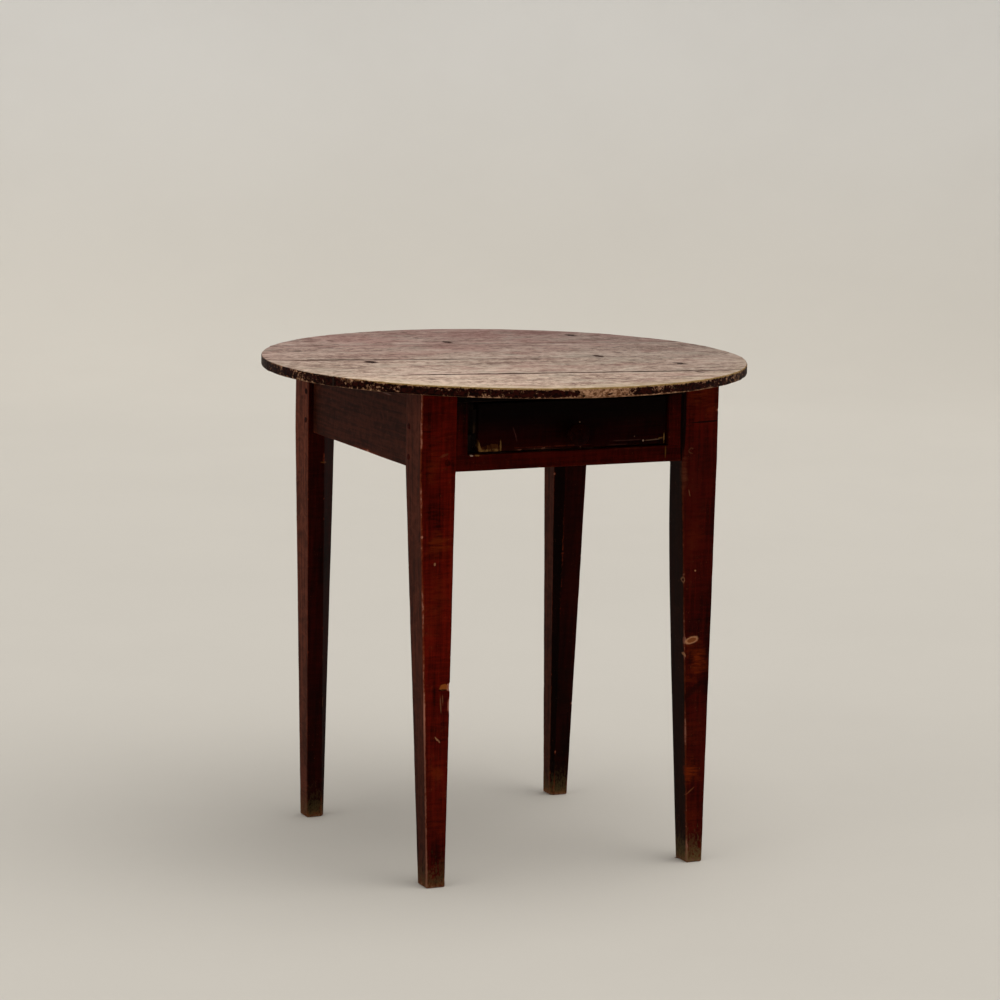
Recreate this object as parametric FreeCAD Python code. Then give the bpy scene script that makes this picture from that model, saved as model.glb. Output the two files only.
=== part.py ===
import FreeCAD, Part
import math
import os

# Tavern table: round four-board top on a low square frame, four tapered legs, one drawer in front.
# Millimetres. +Z is up, the floor is Z = 0, the drawer opens towards -Y, the top is centred on X = Y = 0.

Vector = FreeCAD.Vector

# ---- driving dimensions ----

TABLE_HEIGHT = 720.0
TOP_DIAMETER = 707.0
TOP_THICKNESS = 15.0
TOP_UPPER_ARRIS = 2.0
TOP_LOWER_ARRIS = 1.2

# The top's boards run at a slight angle to the frame. Each seam is given by where it crosses the rim on the
# left and on the right, as its distance from the centre line of the boards, and by how far it stands open.
# Each board is cut from the whole top by a strip that reaches a margin past the top and the underside.
BOARD_ANGLE = -9.5
STRIP_MARGIN = 1.0
REAR_SEAM = {"left": 162.0, "right": 154.0, "gap": 0.6}
MIDDLE_SEAM = {"left": -6.0, "right": -42.0, "gap": 0.6}
FRONT_SEAM = {"left": -190.0, "right": -186.0, "gap": 1.6}

# Frame. The depth is over the legs, the side face is that of the left and right aprons from the middle.
FRAME_DEPTH = 470.0
SIDE_APRON_FACE = 224.5
APRON_BOTTOM = 592.0
APRON_THICKNESS = 20.0
REAR_APRON_SETBACK = 6.5

# Legs: a head where the aprons join, and a taper below it with the inner corner cut off. Each was sawn and
# planed by hand, so they differ: by side (-1 left, 1 right) and end (-1 front, 1 rear), each has its own
# distance of the head's outer face from the middle, width at the head, width and depth at the foot, lean of
# the outer face at the foot, cut of the corner at the top and at the foot, and how fast that cut fades.
LEG_DEPTH = 52.0
LEG_CUT_START = 1.0
LEG_CUT_STOP = 7.0
LEG_CUT_PLACES = (0.0, 0.09, 0.2, 0.35, 0.55, 1.0)
LEGS = {
    "leg_front_left": {
        "side": -1, "end": -1, "outer": 234.5, "width": 54.0, "foot": (28.5, 31.0),
        "lean": 20.0, "cut": 14.0, "foot_cut": 0.5, "fade": 5,
    },
    "leg_front_right": {
        "side": 1, "end": -1, "outer": 230.0, "width": 57.0, "foot": (25.0, 34.0),
        "lean": 6.5, "cut": 14.0, "foot_cut": 0.5, "fade": 5,
    },
    "leg_rear_left": {
        "side": -1, "end": 1, "outer": 232.5, "width": 53.5, "foot": (28.5, 28.0),
        "lean": 15.5, "cut": 27.0, "foot_cut": 5.0, "fade": 1,
    },
    "leg_rear_right": {
        "side": 1, "end": 1, "outer": 232.0, "width": 52.0, "foot": (28.0, 28.0),
        "lean": 12.0, "cut": 14.0, "foot_cut": 5.0, "fade": 1,
    },
}

# Tenons of the aprons and pegs that hold them.
APRON_TENON_LENGTH = 28.0
APRON_TENON_THICKNESS = 10.0
APRON_TENON_INSET = 5.0
APRON_TENON_SHOULDER_BOTTOM = 9.0
APRON_TENON_SHOULDER_TOP = 12.0
PEG_SIZE = 8.0
PEG_PROUD = 0.5
PEG_FROM_SHOULDER = 10.0
APRON_PEG_DEPTH = 27.0
APRON_PEG_HEIGHTS = (610.0, 653.0)
RAIL_PEG_DEPTH = 40.0
RAIL_PEG_X = 193.0

# Front rails and stiles.
DRAWER_RAIL_HEIGHT = 23.0
UPPER_RAIL_HEIGHT = 16.0
RAIL_DEPTH = 50.0
RAIL_TENON_LENGTH = 24.0
RAIL_TENON_DEPTH = 35.0
RAIL_TENON_FRONT = 10.0
RAIL_TENON_BOTTOM = 6.0
RAIL_TENON_HEIGHT = 14.0
DOVETAIL_LENGTH = 22.0
DOVETAIL_NECK = 26.0
DOVETAIL_END = 34.0
LEFT_STILE_WIDTH = 17.5
RIGHT_STILE_WIDTH = 23.0
STILE_THICKNESS = 22.0
STUB_SIZE = 9.0
STUB_LENGTH = 6.0

# Drawer.
DRAWER_LEFT = -146.0
DRAWER_RIGHT = 148.0
DRAWER_LENGTH = 400.0
DRAWER_RECESS = 4.0
DRAWER_FRONT_THICKNESS = 20.0
DRAWER_FRONT_LIFT = 2.5
DRAWER_SIDE_LIFT = 0.4
DRAWER_TOP_GAP = 3.0
DRAWER_SIDE_THICKNESS = 12.0
DRAWER_SIDE_DROP = 4.0
DRAWER_BACK_DROP = 10.0
DRAWER_BOTTOM_RISE = 8.0
DRAWER_BOTTOM_THICKNESS = 9.0
DRAWER_GROOVE_DEPTH = 5.0
DOVETAIL_DEPTH = 12.0
DOVETAIL_FLARE = 3.5
DRAWER_TAILS = ((621.0, 645.0), (656.0, 678.0))

# Knob, turned, with its tenon through the drawer front.
KNOB_X = 1.0
KNOB_Z = 639.0
KNOB_TENON_RADIUS = 6.0
KNOB_BASE_RADIUS = 11.5
KNOB_BASE_THICKNESS = 2.0
KNOB_NECK_RADIUS = 8.2
KNOB_NECK_START = 7.5
KNOB_FLARE_RADIUS = 13.5
KNOB_FLARE_START = 14.0
KNOB_HEAD_RADIUS = 16.5
KNOB_HEAD_START = 17.5
KNOB_DOME_RADIUS = 15.0
KNOB_DOME_START = 21.5
KNOB_LENGTH = 27.0

# Runners, guides and kickers.
RUNNER_THICKNESS = 18.0
RUNNER_WIDTH = 48.0
RUNNER_TONGUE = 10.0
RUNNER_TONGUE_THICKNESS = 8.0
GUIDE_HEIGHT = 25.0
GUIDE_WIDTH = 23.0
GUIDE_CLEARANCE = 1.5
KICKER_WIDTH = 40.0
KICKER_TONGUE_THICKNESS = 8.0
KICKER_OVERHANG = 16.0

# Drawer stops on the drawer rail.
STOP_OFFSET = 70.0
STOP_WIDTH = 32.0
STOP_DEPTH = 20.0
STOP_HEIGHT = 5.0

# Cut nails with square shanks.
NAIL_SHANK = 3.4
NAIL_HEAD = 7.0
NAIL_HEAD_THICKNESS = 1.2
NAIL_SINK = 0.3
TOP_NAIL_LENGTH = 45.0
RAIL_NAIL_LENGTH = 29.0
SMALL_NAIL_SHANK = 2.6
SMALL_NAIL_HEAD = 5.0
NAIL_EDGE = 10.0
REAR_NAIL_LENGTH = 44.0
GUIDE_NAIL_LENGTH = 36.0
GUIDE_NAIL_PLACES = (-150.0, 160.0)
DRAWER_SIDE_NAIL_LENGTH = 30.0
PANEL_NAIL_LENGTH = 28.0
PANEL_NAIL_SHARES = (0.2, 0.5, 0.8)

# ---- places worked out from the dimensions ----

HALF_DEPTH = FRAME_DEPTH / 2
FRAME_TOP = TABLE_HEIGHT - TOP_THICKNESS
SHOULDER_Y = HALF_DEPTH - LEG_DEPTH
SHOULDERS = {name: leg["side"] * (leg["outer"] - leg["width"]) for name, leg in LEGS.items()}
FRONT_LEFT = SHOULDERS["leg_front_left"]
FRONT_RIGHT = SHOULDERS["leg_front_right"]
REAR_LEFT = SHOULDERS["leg_rear_left"]
REAR_RIGHT = SHOULDERS["leg_rear_right"]
APRON_INNER_X = SIDE_APRON_FACE - APRON_THICKNESS
APRON_INNER_Y = HALF_DEPTH - REAR_APRON_SETBACK - APRON_THICKNESS
APRON_CENTRE_X = APRON_INNER_X + APRON_THICKNESS / 2
APRON_CENTRE_Y = APRON_INNER_Y + APRON_THICKNESS / 2
TENON_BOTTOM = APRON_BOTTOM + APRON_TENON_SHOULDER_BOTTOM
TENON_TOP = FRAME_TOP - APRON_TENON_SHOULDER_TOP
RAIL_TOP = APRON_BOTTOM + DRAWER_RAIL_HEIGHT
RAIL_BACK = -HALF_DEPTH + RAIL_DEPTH
UPPER_RAIL_BOTTOM = FRAME_TOP - UPPER_RAIL_HEIGHT
STILE_BACK = -HALF_DEPTH + STILE_THICKNESS
OPENING_LEFT = FRONT_LEFT + LEFT_STILE_WIDTH
OPENING_RIGHT = FRONT_RIGHT - RIGHT_STILE_WIDTH
DRAWER_FACE = -HALF_DEPTH + DRAWER_RECESS
FRONT_BACK_FACE = DRAWER_FACE + DRAWER_FRONT_THICKNESS
DRAWER_END = DRAWER_FACE + DRAWER_LENGTH
DRAWER_TOP = UPPER_RAIL_BOTTOM - DRAWER_TOP_GAP
DRAWER_SIDE_TOP = DRAWER_TOP - DRAWER_SIDE_DROP
DRAWER_BACK_TOP = DRAWER_TOP - DRAWER_BACK_DROP
DRAWER_SIDE_BOTTOM = RAIL_TOP + DRAWER_SIDE_LIFT
PANEL_BOTTOM = RAIL_TOP + DRAWER_BOTTOM_RISE
PANEL_TOP = PANEL_BOTTOM + DRAWER_BOTTOM_THICKNESS
INSIDE_LEFT = DRAWER_LEFT + DRAWER_SIDE_THICKNESS
INSIDE_RIGHT = DRAWER_RIGHT - DRAWER_SIDE_THICKNESS
RUNNER_BOTTOM = RAIL_TOP - RUNNER_THICKNESS
NAIL_BAND_Z = RUNNER_BOTTOM + RUNNER_THICKNESS / 2
KICKER_CENTRE_Z = (UPPER_RAIL_BOTTOM + FRAME_TOP) / 2
LEFT_GUIDE_FACE = DRAWER_LEFT - GUIDE_CLEARANCE
RIGHT_GUIDE_FACE = DRAWER_RIGHT + GUIDE_CLEARANCE

# Nails through the top: X, Y and length. The first four go into the legs.
TOP_NAILS = (
    (-211.0, -215.0, TOP_NAIL_LENGTH),
    (211.0, -215.0, TOP_NAIL_LENGTH),
    (-214.0, 218.0, TOP_NAIL_LENGTH),
    (214.0, 218.0, TOP_NAIL_LENGTH),
    (-APRON_CENTRE_X, -8.0, TOP_NAIL_LENGTH),
    (-APRON_CENTRE_X, 120.0, TOP_NAIL_LENGTH),
    (APRON_CENTRE_X, -142.0, TOP_NAIL_LENGTH),
    (APRON_CENTRE_X, 12.0, TOP_NAIL_LENGTH),
    (APRON_CENTRE_X, 128.0, TOP_NAIL_LENGTH),
    (-80.0, APRON_CENTRE_Y, TOP_NAIL_LENGTH),
    (95.0, APRON_CENTRE_Y, TOP_NAIL_LENGTH),
    (-85.0, -212.0, RAIL_NAIL_LENGTH),
    (95.0, -216.0, RAIL_NAIL_LENGTH),
)


# ---- helpers ----

def block(corner, opposite):
    """Box between two opposite corners, in any order."""
    low = Vector(*map(min, corner, opposite))
    high = Vector(*map(max, corner, opposite))
    size = high - low
    return Part.makeBox(size.x, size.y, size.z, low)


def prism(points, travel):
    """Solid swept straight from a flat polygon."""
    corners = [Vector(*point) for point in points]
    outline = Part.makePolygon(corners + [corners[0]])
    return Part.Face(outline).extrude(Vector(*travel))


def stacked_sections(sections):
    """Solid with flat sides through polygons that have the same number of corners."""
    rings = [[Vector(*point) for point in section] for section in sections]
    count = len(rings[0])
    faces = [Part.Face(Part.makePolygon(ring + [ring[0]])) for ring in (rings[0], rings[-1])]
    for upper, lower in zip(rings, rings[1:]):
        for i in range(count):
            j = (i + 1) % count
            corners = [upper[i], upper[j], lower[j], lower[i]]
            faces.append(Part.Face(Part.makePolygon(corners + [corners[0]])))
    solid = Part.Solid(Part.Shell(faces))
    if solid.Volume < 0:
        solid.reverse()
    return solid


def joined(*shapes):
    """One solid from touching or overlapping shapes."""
    result = shapes[0]
    for shape in shapes[1:]:
        result = result.fuse(shape)
    return result.removeSplitter()


def without(shape, *tools):
    """The shape with the tools' volume taken away."""
    for tool in tools:
        shape = shape.cut(tool)
    return shape


def octagon_bar(start, direction, length, size):
    """Eight-sided bar, like a split and shaved peg, along a horizontal axis."""
    radius = size / 2 / math.cos(math.pi / 8)
    across = Vector(0, 0, 1).cross(direction)
    corners = []
    for k in range(8):
        angle = math.pi / 8 + k * math.pi / 4
        corners.append(start + across * (radius * math.cos(angle)) + Vector(0, 0, radius * math.sin(angle)))
    outline = Part.makePolygon(corners + [corners[0]])
    return Part.Face(outline).extrude(direction * length)


def nail(head_place, direction, length, shank, head):
    """Square cut nail whose head's outer face is at head_place, driven along an axis direction."""
    side = Vector(0, 0, 1) if abs(direction.z) < 0.5 else Vector(1, 0, 0)
    other = direction.cross(side)

    def square(size, start, travel):
        half = size / 2
        base = head_place + direction * start
        signs = ((-1, -1), (1, -1), (1, 1), (-1, 1))
        corners = [base + side * (a * half) + other * (b * half) for a, b in signs]
        return Part.Face(Part.makePolygon(corners + [corners[0]])).extrude(direction * travel)

    return joined(square(head, 0.0, NAIL_HEAD_THICKNESS), square(shank, NAIL_HEAD_THICKNESS, length))


# ---- the round top ----

def whole_top():
    """The round top before it is parted into boards, turned from its half section."""
    radius = TOP_DIAMETER / 2
    half_section = [
        (0, FRAME_TOP),
        (radius - TOP_LOWER_ARRIS, FRAME_TOP),
        (radius, FRAME_TOP + TOP_LOWER_ARRIS),
        (radius, TABLE_HEIGHT - TOP_UPPER_ARRIS),
        (radius - TOP_UPPER_ARRIS, TABLE_HEIGHT),
        (0, TABLE_HEIGHT),
    ]
    corners = [Vector(x, 0, z) for x, z in half_section]
    outline = Part.makePolygon(corners + [corners[0]])
    return Part.Face(outline).revolve(Vector(0, 0, 0), Vector(0, 0, 1), 360)


def board(front_seam, rear_seam):
    """One board of the top, between two seams or out to the rim where a seam is None."""
    reach = TOP_DIAMETER
    front = (-reach, -reach)
    rear = (reach, reach)
    if front_seam:
        slope = (front_seam["right"] - front_seam["left"]) / TOP_DIAMETER
        middle = (front_seam["right"] + front_seam["left"]) / 2 + front_seam["gap"] / 2
        front = (middle - slope * reach, middle + slope * reach)
    if rear_seam:
        slope = (rear_seam["right"] - rear_seam["left"]) / TOP_DIAMETER
        middle = (rear_seam["right"] + rear_seam["left"]) / 2 - rear_seam["gap"] / 2
        rear = (middle - slope * reach, middle + slope * reach)
    base = FRAME_TOP - STRIP_MARGIN
    outline = [
        (-reach, front[0], base),
        (reach, front[1], base),
        (reach, rear[1], base),
        (-reach, rear[0], base),
    ]
    strip = prism(outline, (0, 0, TOP_THICKNESS + 2 * STRIP_MARGIN))
    strip.rotate(Vector(0, 0, 0), Vector(0, 0, 1), BOARD_ANGLE)
    return whole_top().common(strip)


def top_nail(x, y, length):
    place = Vector(x, y, TABLE_HEIGHT - NAIL_SINK)
    return nail(place, Vector(0, 0, -1), length - NAIL_HEAD_THICKNESS, NAIL_SHANK, NAIL_HEAD)


# ---- legs ----

def leg_section(form, down, cut):
    """Corners of a leg's cross section at a share of the way from the head to the floor.

    They are measured inwards from the outer corner of the head.
    """
    width = form["width"] + (form["foot"][0] - form["width"]) * down
    depth = LEG_DEPTH + (form["foot"][1] - LEG_DEPTH) * down
    lean = form["lean"] * down
    z = APRON_BOTTOM * (1 - down)
    return [
        (lean, 0.0, z),
        (lean + width, 0.0, z),
        (lean + width, depth - cut, z),
        (lean + width - cut, depth, z),
        (lean, depth, z),
    ]


def leg(form):
    """Leg before its mortises."""
    stop = LEG_CUT_STOP / APRON_BOTTOM
    sections = [leg_section(form, 0.0, LEG_CUT_START)]
    for share in LEG_CUT_PLACES:
        cut = form["foot_cut"] + (form["cut"] - form["foot_cut"]) * (1 - share) ** form["fade"]
        sections.append(leg_section(form, stop + (1 - stop) * share, cut))

    def place(point):
        return (form["side"] * (form["outer"] - point[0]), form["end"] * (HALF_DEPTH - point[1]), point[2])

    shaft = stacked_sections([[place(point) for point in section] for section in sections])
    head = block(place((0, 0, APRON_BOTTOM)), place((form["width"], LEG_DEPTH, FRAME_TOP)))
    return joined(head, shaft)


# ---- aprons ----

def side_apron(side):
    """Left or right apron with a tenon at each end."""
    inner = side * APRON_INNER_X
    outer = side * (APRON_INNER_X + APRON_THICKNESS)
    tenon_outer = outer - side * APRON_TENON_INSET
    tenon_inner = tenon_outer - side * APRON_TENON_THICKNESS
    reach = SHOULDER_Y + APRON_TENON_LENGTH
    body = block((inner, -SHOULDER_Y, APRON_BOTTOM), (outer, SHOULDER_Y, FRAME_TOP))
    tenons = block((tenon_inner, -reach, TENON_BOTTOM), (tenon_outer, reach, TENON_TOP))
    return joined(body, tenons)


def rear_apron():
    """Rear apron with a tenon at each end."""
    outer = APRON_INNER_Y + APRON_THICKNESS - APRON_TENON_INSET
    body = block((REAR_LEFT, APRON_INNER_Y, APRON_BOTTOM),
                 (REAR_RIGHT, APRON_INNER_Y + APRON_THICKNESS, FRAME_TOP))
    tenons = block((REAR_LEFT - APRON_TENON_LENGTH, outer - APRON_TENON_THICKNESS, TENON_BOTTOM),
                   (REAR_RIGHT + APRON_TENON_LENGTH, outer, TENON_TOP))
    return joined(body, tenons)


# ---- front rails and stiles ----

def drawer_rail():
    """Rail under the drawer, laid flat, with a tenon at each end."""
    tenon_front = -HALF_DEPTH + RAIL_TENON_FRONT
    tenon_bottom = APRON_BOTTOM + RAIL_TENON_BOTTOM
    body = block((FRONT_LEFT, -HALF_DEPTH, APRON_BOTTOM), (FRONT_RIGHT, RAIL_BACK, RAIL_TOP))
    tenons = block((FRONT_LEFT - RAIL_TENON_LENGTH, tenon_front, tenon_bottom),
                   (FRONT_RIGHT + RAIL_TENON_LENGTH, tenon_front + RAIL_TENON_DEPTH,
                    tenon_bottom + RAIL_TENON_HEIGHT))
    return joined(body, tenons)


def upper_rail():
    """Rail above the drawer, laid flat, dovetailed into the tops of the front legs."""
    centre = -HALF_DEPTH + RAIL_DEPTH / 2
    body = block((FRONT_LEFT, -HALF_DEPTH, UPPER_RAIL_BOTTOM), (FRONT_RIGHT, RAIL_BACK, FRAME_TOP))
    tails = []
    for side, neck_x in ((-1, FRONT_LEFT), (1, FRONT_RIGHT)):
        end_x = neck_x + side * DOVETAIL_LENGTH
        outline = [
            (neck_x, centre - DOVETAIL_NECK / 2, UPPER_RAIL_BOTTOM),
            (end_x, centre - DOVETAIL_END / 2, UPPER_RAIL_BOTTOM),
            (end_x, centre + DOVETAIL_END / 2, UPPER_RAIL_BOTTOM),
            (neck_x, centre + DOVETAIL_NECK / 2, UPPER_RAIL_BOTTOM),
        ]
        tails.append(prism(outline, (0, 0, UPPER_RAIL_HEIGHT)))
    return joined(body, *tails)


def stile(x_low, x_high):
    """Short upright beside the drawer, with a stub tenon into each rail."""
    body = block((x_low, -HALF_DEPTH, RAIL_TOP), (x_high, STILE_BACK, UPPER_RAIL_BOTTOM))
    x = (x_low + x_high) / 2
    y = (STILE_BACK - HALF_DEPTH) / 2
    half = STUB_SIZE / 2
    stubs = block((x - half, y - half, RAIL_TOP - STUB_LENGTH),
                  (x + half, y + half, UPPER_RAIL_BOTTOM + STUB_LENGTH))
    return joined(body, stubs)


# ---- runners, guides and kickers ----

def runner(guide_face, side):
    """Board that carries one side of the drawer, with a tongue in the drawer rail."""
    outer = guide_face + side * GUIDE_WIDTH
    inner = outer - side * RUNNER_WIDTH
    body = block((inner, RAIL_BACK, RUNNER_BOTTOM), (outer, APRON_INNER_Y, RAIL_TOP))
    tongue_low = NAIL_BAND_Z - RUNNER_TONGUE_THICKNESS / 2
    tongue = block((inner, RAIL_BACK - RUNNER_TONGUE, tongue_low),
                   (outer, RAIL_BACK, tongue_low + RUNNER_TONGUE_THICKNESS))
    return joined(body, tongue)


def guide(guide_face, side):
    """Strip on the runner beside the drawer, from behind the stile to the rear apron."""
    return block((guide_face, STILE_BACK, RAIL_TOP),
                 (guide_face + side * GUIDE_WIDTH, APRON_INNER_Y, RAIL_TOP + GUIDE_HEIGHT))


def kicker(drawer_side_face, side):
    """Strip over one side of the drawer, with a tongue in the upper rail."""
    outer = drawer_side_face + side * KICKER_OVERHANG
    inner = outer - side * KICKER_WIDTH
    body = block((inner, RAIL_BACK, UPPER_RAIL_BOTTOM), (outer, APRON_INNER_Y, FRAME_TOP))
    tongue_low = KICKER_CENTRE_Z - KICKER_TONGUE_THICKNESS / 2
    tongue = block((inner, RAIL_BACK - RUNNER_TONGUE, tongue_low),
                   (outer, RAIL_BACK, tongue_low + KICKER_TONGUE_THICKNESS))
    return joined(body, tongue)


def drawer_stops():
    """Two blocks on the drawer rail, just behind the closed drawer's front."""
    blocks = []
    for side in (-1, 1):
        x = side * STOP_OFFSET
        blocks.append(block((x - STOP_WIDTH / 2, FRONT_BACK_FACE, RAIL_TOP),
                            (x + STOP_WIDTH / 2, FRONT_BACK_FACE + STOP_DEPTH, RAIL_TOP + STOP_HEIGHT)))
    return blocks


# ---- drawer ----

def drawer_tail(x_low, x_high, z_low, z_high):
    """Dovetail at the front of a drawer side, wider towards the front."""
    tip = FRONT_BACK_FACE - DOVETAIL_DEPTH
    outline = [
        (x_low, FRONT_BACK_FACE, z_low + DOVETAIL_FLARE),
        (x_low, tip, z_low),
        (x_low, tip, z_high),
        (x_low, FRONT_BACK_FACE, z_high - DOVETAIL_FLARE),
    ]
    return prism(outline, (x_high - x_low, 0, 0))


def drawer_side(x_low, x_high):
    """Drawer side with its dovetails, before its groove."""
    body = block((x_low, FRONT_BACK_FACE, DRAWER_SIDE_BOTTOM), (x_high, DRAWER_END, DRAWER_SIDE_TOP))
    tails = [drawer_tail(x_low, x_high, low, high) for low, high in DRAWER_TAILS]
    return joined(body, *tails)


def drawer_front():
    """Drawer front before its sockets, groove and knob hole."""
    return block((DRAWER_LEFT, DRAWER_FACE, RAIL_TOP + DRAWER_FRONT_LIFT),
                 (DRAWER_RIGHT, FRONT_BACK_FACE, DRAWER_TOP))


def drawer_back():
    """Drawer back, standing on the bottom between the sides."""
    return block((INSIDE_LEFT, DRAWER_END - DRAWER_SIDE_THICKNESS, PANEL_TOP),
                 (INSIDE_RIGHT, DRAWER_END, DRAWER_BACK_TOP))


def drawer_bottom():
    """Drawer bottom, held in grooves in the front and the sides."""
    return block((INSIDE_LEFT - DRAWER_GROOVE_DEPTH, FRONT_BACK_FACE - DRAWER_GROOVE_DEPTH, PANEL_BOTTOM),
                 (INSIDE_RIGHT + DRAWER_GROOVE_DEPTH, DRAWER_END, PANEL_TOP))


def knob():
    """Turned knob: tenon, flat base, waist and domed head, along -Y."""

    def at(radius, proud):
        return Vector(KNOB_X + radius, DRAWER_FACE - proud, KNOB_Z)

    base_edge = at(KNOB_BASE_RADIUS, KNOB_BASE_THICKNESS)
    flare = at(KNOB_FLARE_RADIUS, KNOB_FLARE_START)
    dome_edge = at(KNOB_DOME_RADIUS, KNOB_DOME_START)
    dome_height = KNOB_LENGTH - KNOB_DOME_START
    sphere = (KNOB_DOME_RADIUS ** 2 + dome_height ** 2) / (2 * dome_height)
    dome_middle = math.asin(KNOB_DOME_RADIUS / sphere) / 2
    on_dome = at(sphere * math.sin(dome_middle), KNOB_LENGTH - sphere * (1 - math.cos(dome_middle)))
    lines = [
        Part.LineSegment(at(0, -DRAWER_FRONT_THICKNESS), at(KNOB_TENON_RADIUS, -DRAWER_FRONT_THICKNESS)),
        Part.LineSegment(at(KNOB_TENON_RADIUS, -DRAWER_FRONT_THICKNESS), at(KNOB_TENON_RADIUS, 0)),
        Part.LineSegment(at(KNOB_TENON_RADIUS, 0), at(KNOB_BASE_RADIUS, 0)),
        Part.LineSegment(at(KNOB_BASE_RADIUS, 0), base_edge),
        Part.Arc(base_edge, at(KNOB_NECK_RADIUS, KNOB_NECK_START), flare),
        Part.Arc(flare, at(KNOB_HEAD_RADIUS, KNOB_HEAD_START), dome_edge),
        Part.Arc(dome_edge, on_dome, at(0, KNOB_LENGTH)),
        Part.LineSegment(at(0, KNOB_LENGTH), at(0, -DRAWER_FRONT_THICKNESS)),
    ]
    profile = Part.Face(Part.Wire([line.toShape() for line in lines]))
    return profile.revolve(at(0, 0), Vector(0, 1, 0), 360)


# ---- pegs and nails ----

def frame_pegs():
    """Pegs through the legs into the tenons, each a little proud of the leg."""
    pegs = []
    for name, form in LEGS.items():
        side, end = form["side"], form["end"]
        inward_x = Vector(-side, 0, 0)
        inward_y = Vector(0, -end, 0)
        outer_x = side * (form["outer"] + PEG_PROUD)
        outer_y = end * (HALF_DEPTH + PEG_PROUD)
        for z in APRON_PEG_HEIGHTS:
            start = Vector(outer_x, end * (SHOULDER_Y + PEG_FROM_SHOULDER), z)
            pegs.append(octagon_bar(start, inward_x, APRON_PEG_DEPTH + PEG_PROUD, PEG_SIZE))
            if end > 0:
                start = Vector(SHOULDERS[name] + side * PEG_FROM_SHOULDER, outer_y, z)
                pegs.append(octagon_bar(start, inward_y, APRON_PEG_DEPTH + PEG_PROUD, PEG_SIZE))
        if end < 0:
            z = APRON_BOTTOM + RAIL_TENON_BOTTOM + RAIL_TENON_HEIGHT / 2
            start = Vector(side * RAIL_PEG_X, outer_y, z)
            pegs.append(octagon_bar(start, inward_y, RAIL_PEG_DEPTH + PEG_PROUD, PEG_SIZE))
    return pegs


def small_nail(place, direction, length):
    return nail(place, direction, length, SMALL_NAIL_SHANK, SMALL_NAIL_HEAD)


def runner_nails():
    """Nails that hold the runners, guides and kickers."""
    nails = []
    rear_face = APRON_INNER_Y + APRON_THICKNESS - NAIL_SINK
    forward = Vector(0, -1, 0)
    for guide_face, side in ((LEFT_GUIDE_FACE, -1), (RIGHT_GUIDE_FACE, 1)):
        outer = guide_face + side * GUIDE_WIDTH
        for inset in (NAIL_EDGE, RUNNER_WIDTH - NAIL_EDGE):
            place = Vector(outer - side * inset, rear_face, NAIL_BAND_Z)
            nails.append(small_nail(place, forward, REAR_NAIL_LENGTH))
        for y in GUIDE_NAIL_PLACES:
            place = Vector(guide_face + side * GUIDE_WIDTH / 2, y, RAIL_TOP + GUIDE_HEIGHT - NAIL_SINK)
            nails.append(small_nail(place, Vector(0, 0, -1), GUIDE_NAIL_LENGTH))
    for face, side in ((DRAWER_LEFT, -1), (DRAWER_RIGHT, 1)):
        x = face + side * (KICKER_OVERHANG - KICKER_WIDTH / 2)
        nails.append(small_nail(Vector(x, rear_face, KICKER_CENTRE_Z), forward, REAR_NAIL_LENGTH))
    return nails


def drawer_nails():
    """Nails through the drawer sides into the back, and up through the bottom into the back."""
    nails = []
    y = DRAWER_END - DRAWER_SIDE_THICKNESS / 2
    for face, side in ((DRAWER_LEFT, -1), (DRAWER_RIGHT, 1)):
        for z in (PANEL_TOP + NAIL_EDGE, DRAWER_BACK_TOP - NAIL_EDGE):
            place = Vector(face - side * NAIL_SINK, y, z)
            nails.append(small_nail(place, Vector(-side, 0, 0), DRAWER_SIDE_NAIL_LENGTH))
    for share in PANEL_NAIL_SHARES:
        x = INSIDE_LEFT + share * (INSIDE_RIGHT - INSIDE_LEFT)
        place = Vector(x, y, PANEL_BOTTOM + NAIL_SINK)
        nails.append(small_nail(place, Vector(0, 0, 1), PANEL_NAIL_LENGTH))
    return nails


# ---- assembly ----

def cut_by_group(parts, names, group):
    """Take a group of small solids out of the named parts, where they meet."""
    for name in names:
        for tool in group:
            if parts[name].BoundBox.intersect(tool.BoundBox):
                parts[name] = parts[name].cut(tool)


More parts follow.
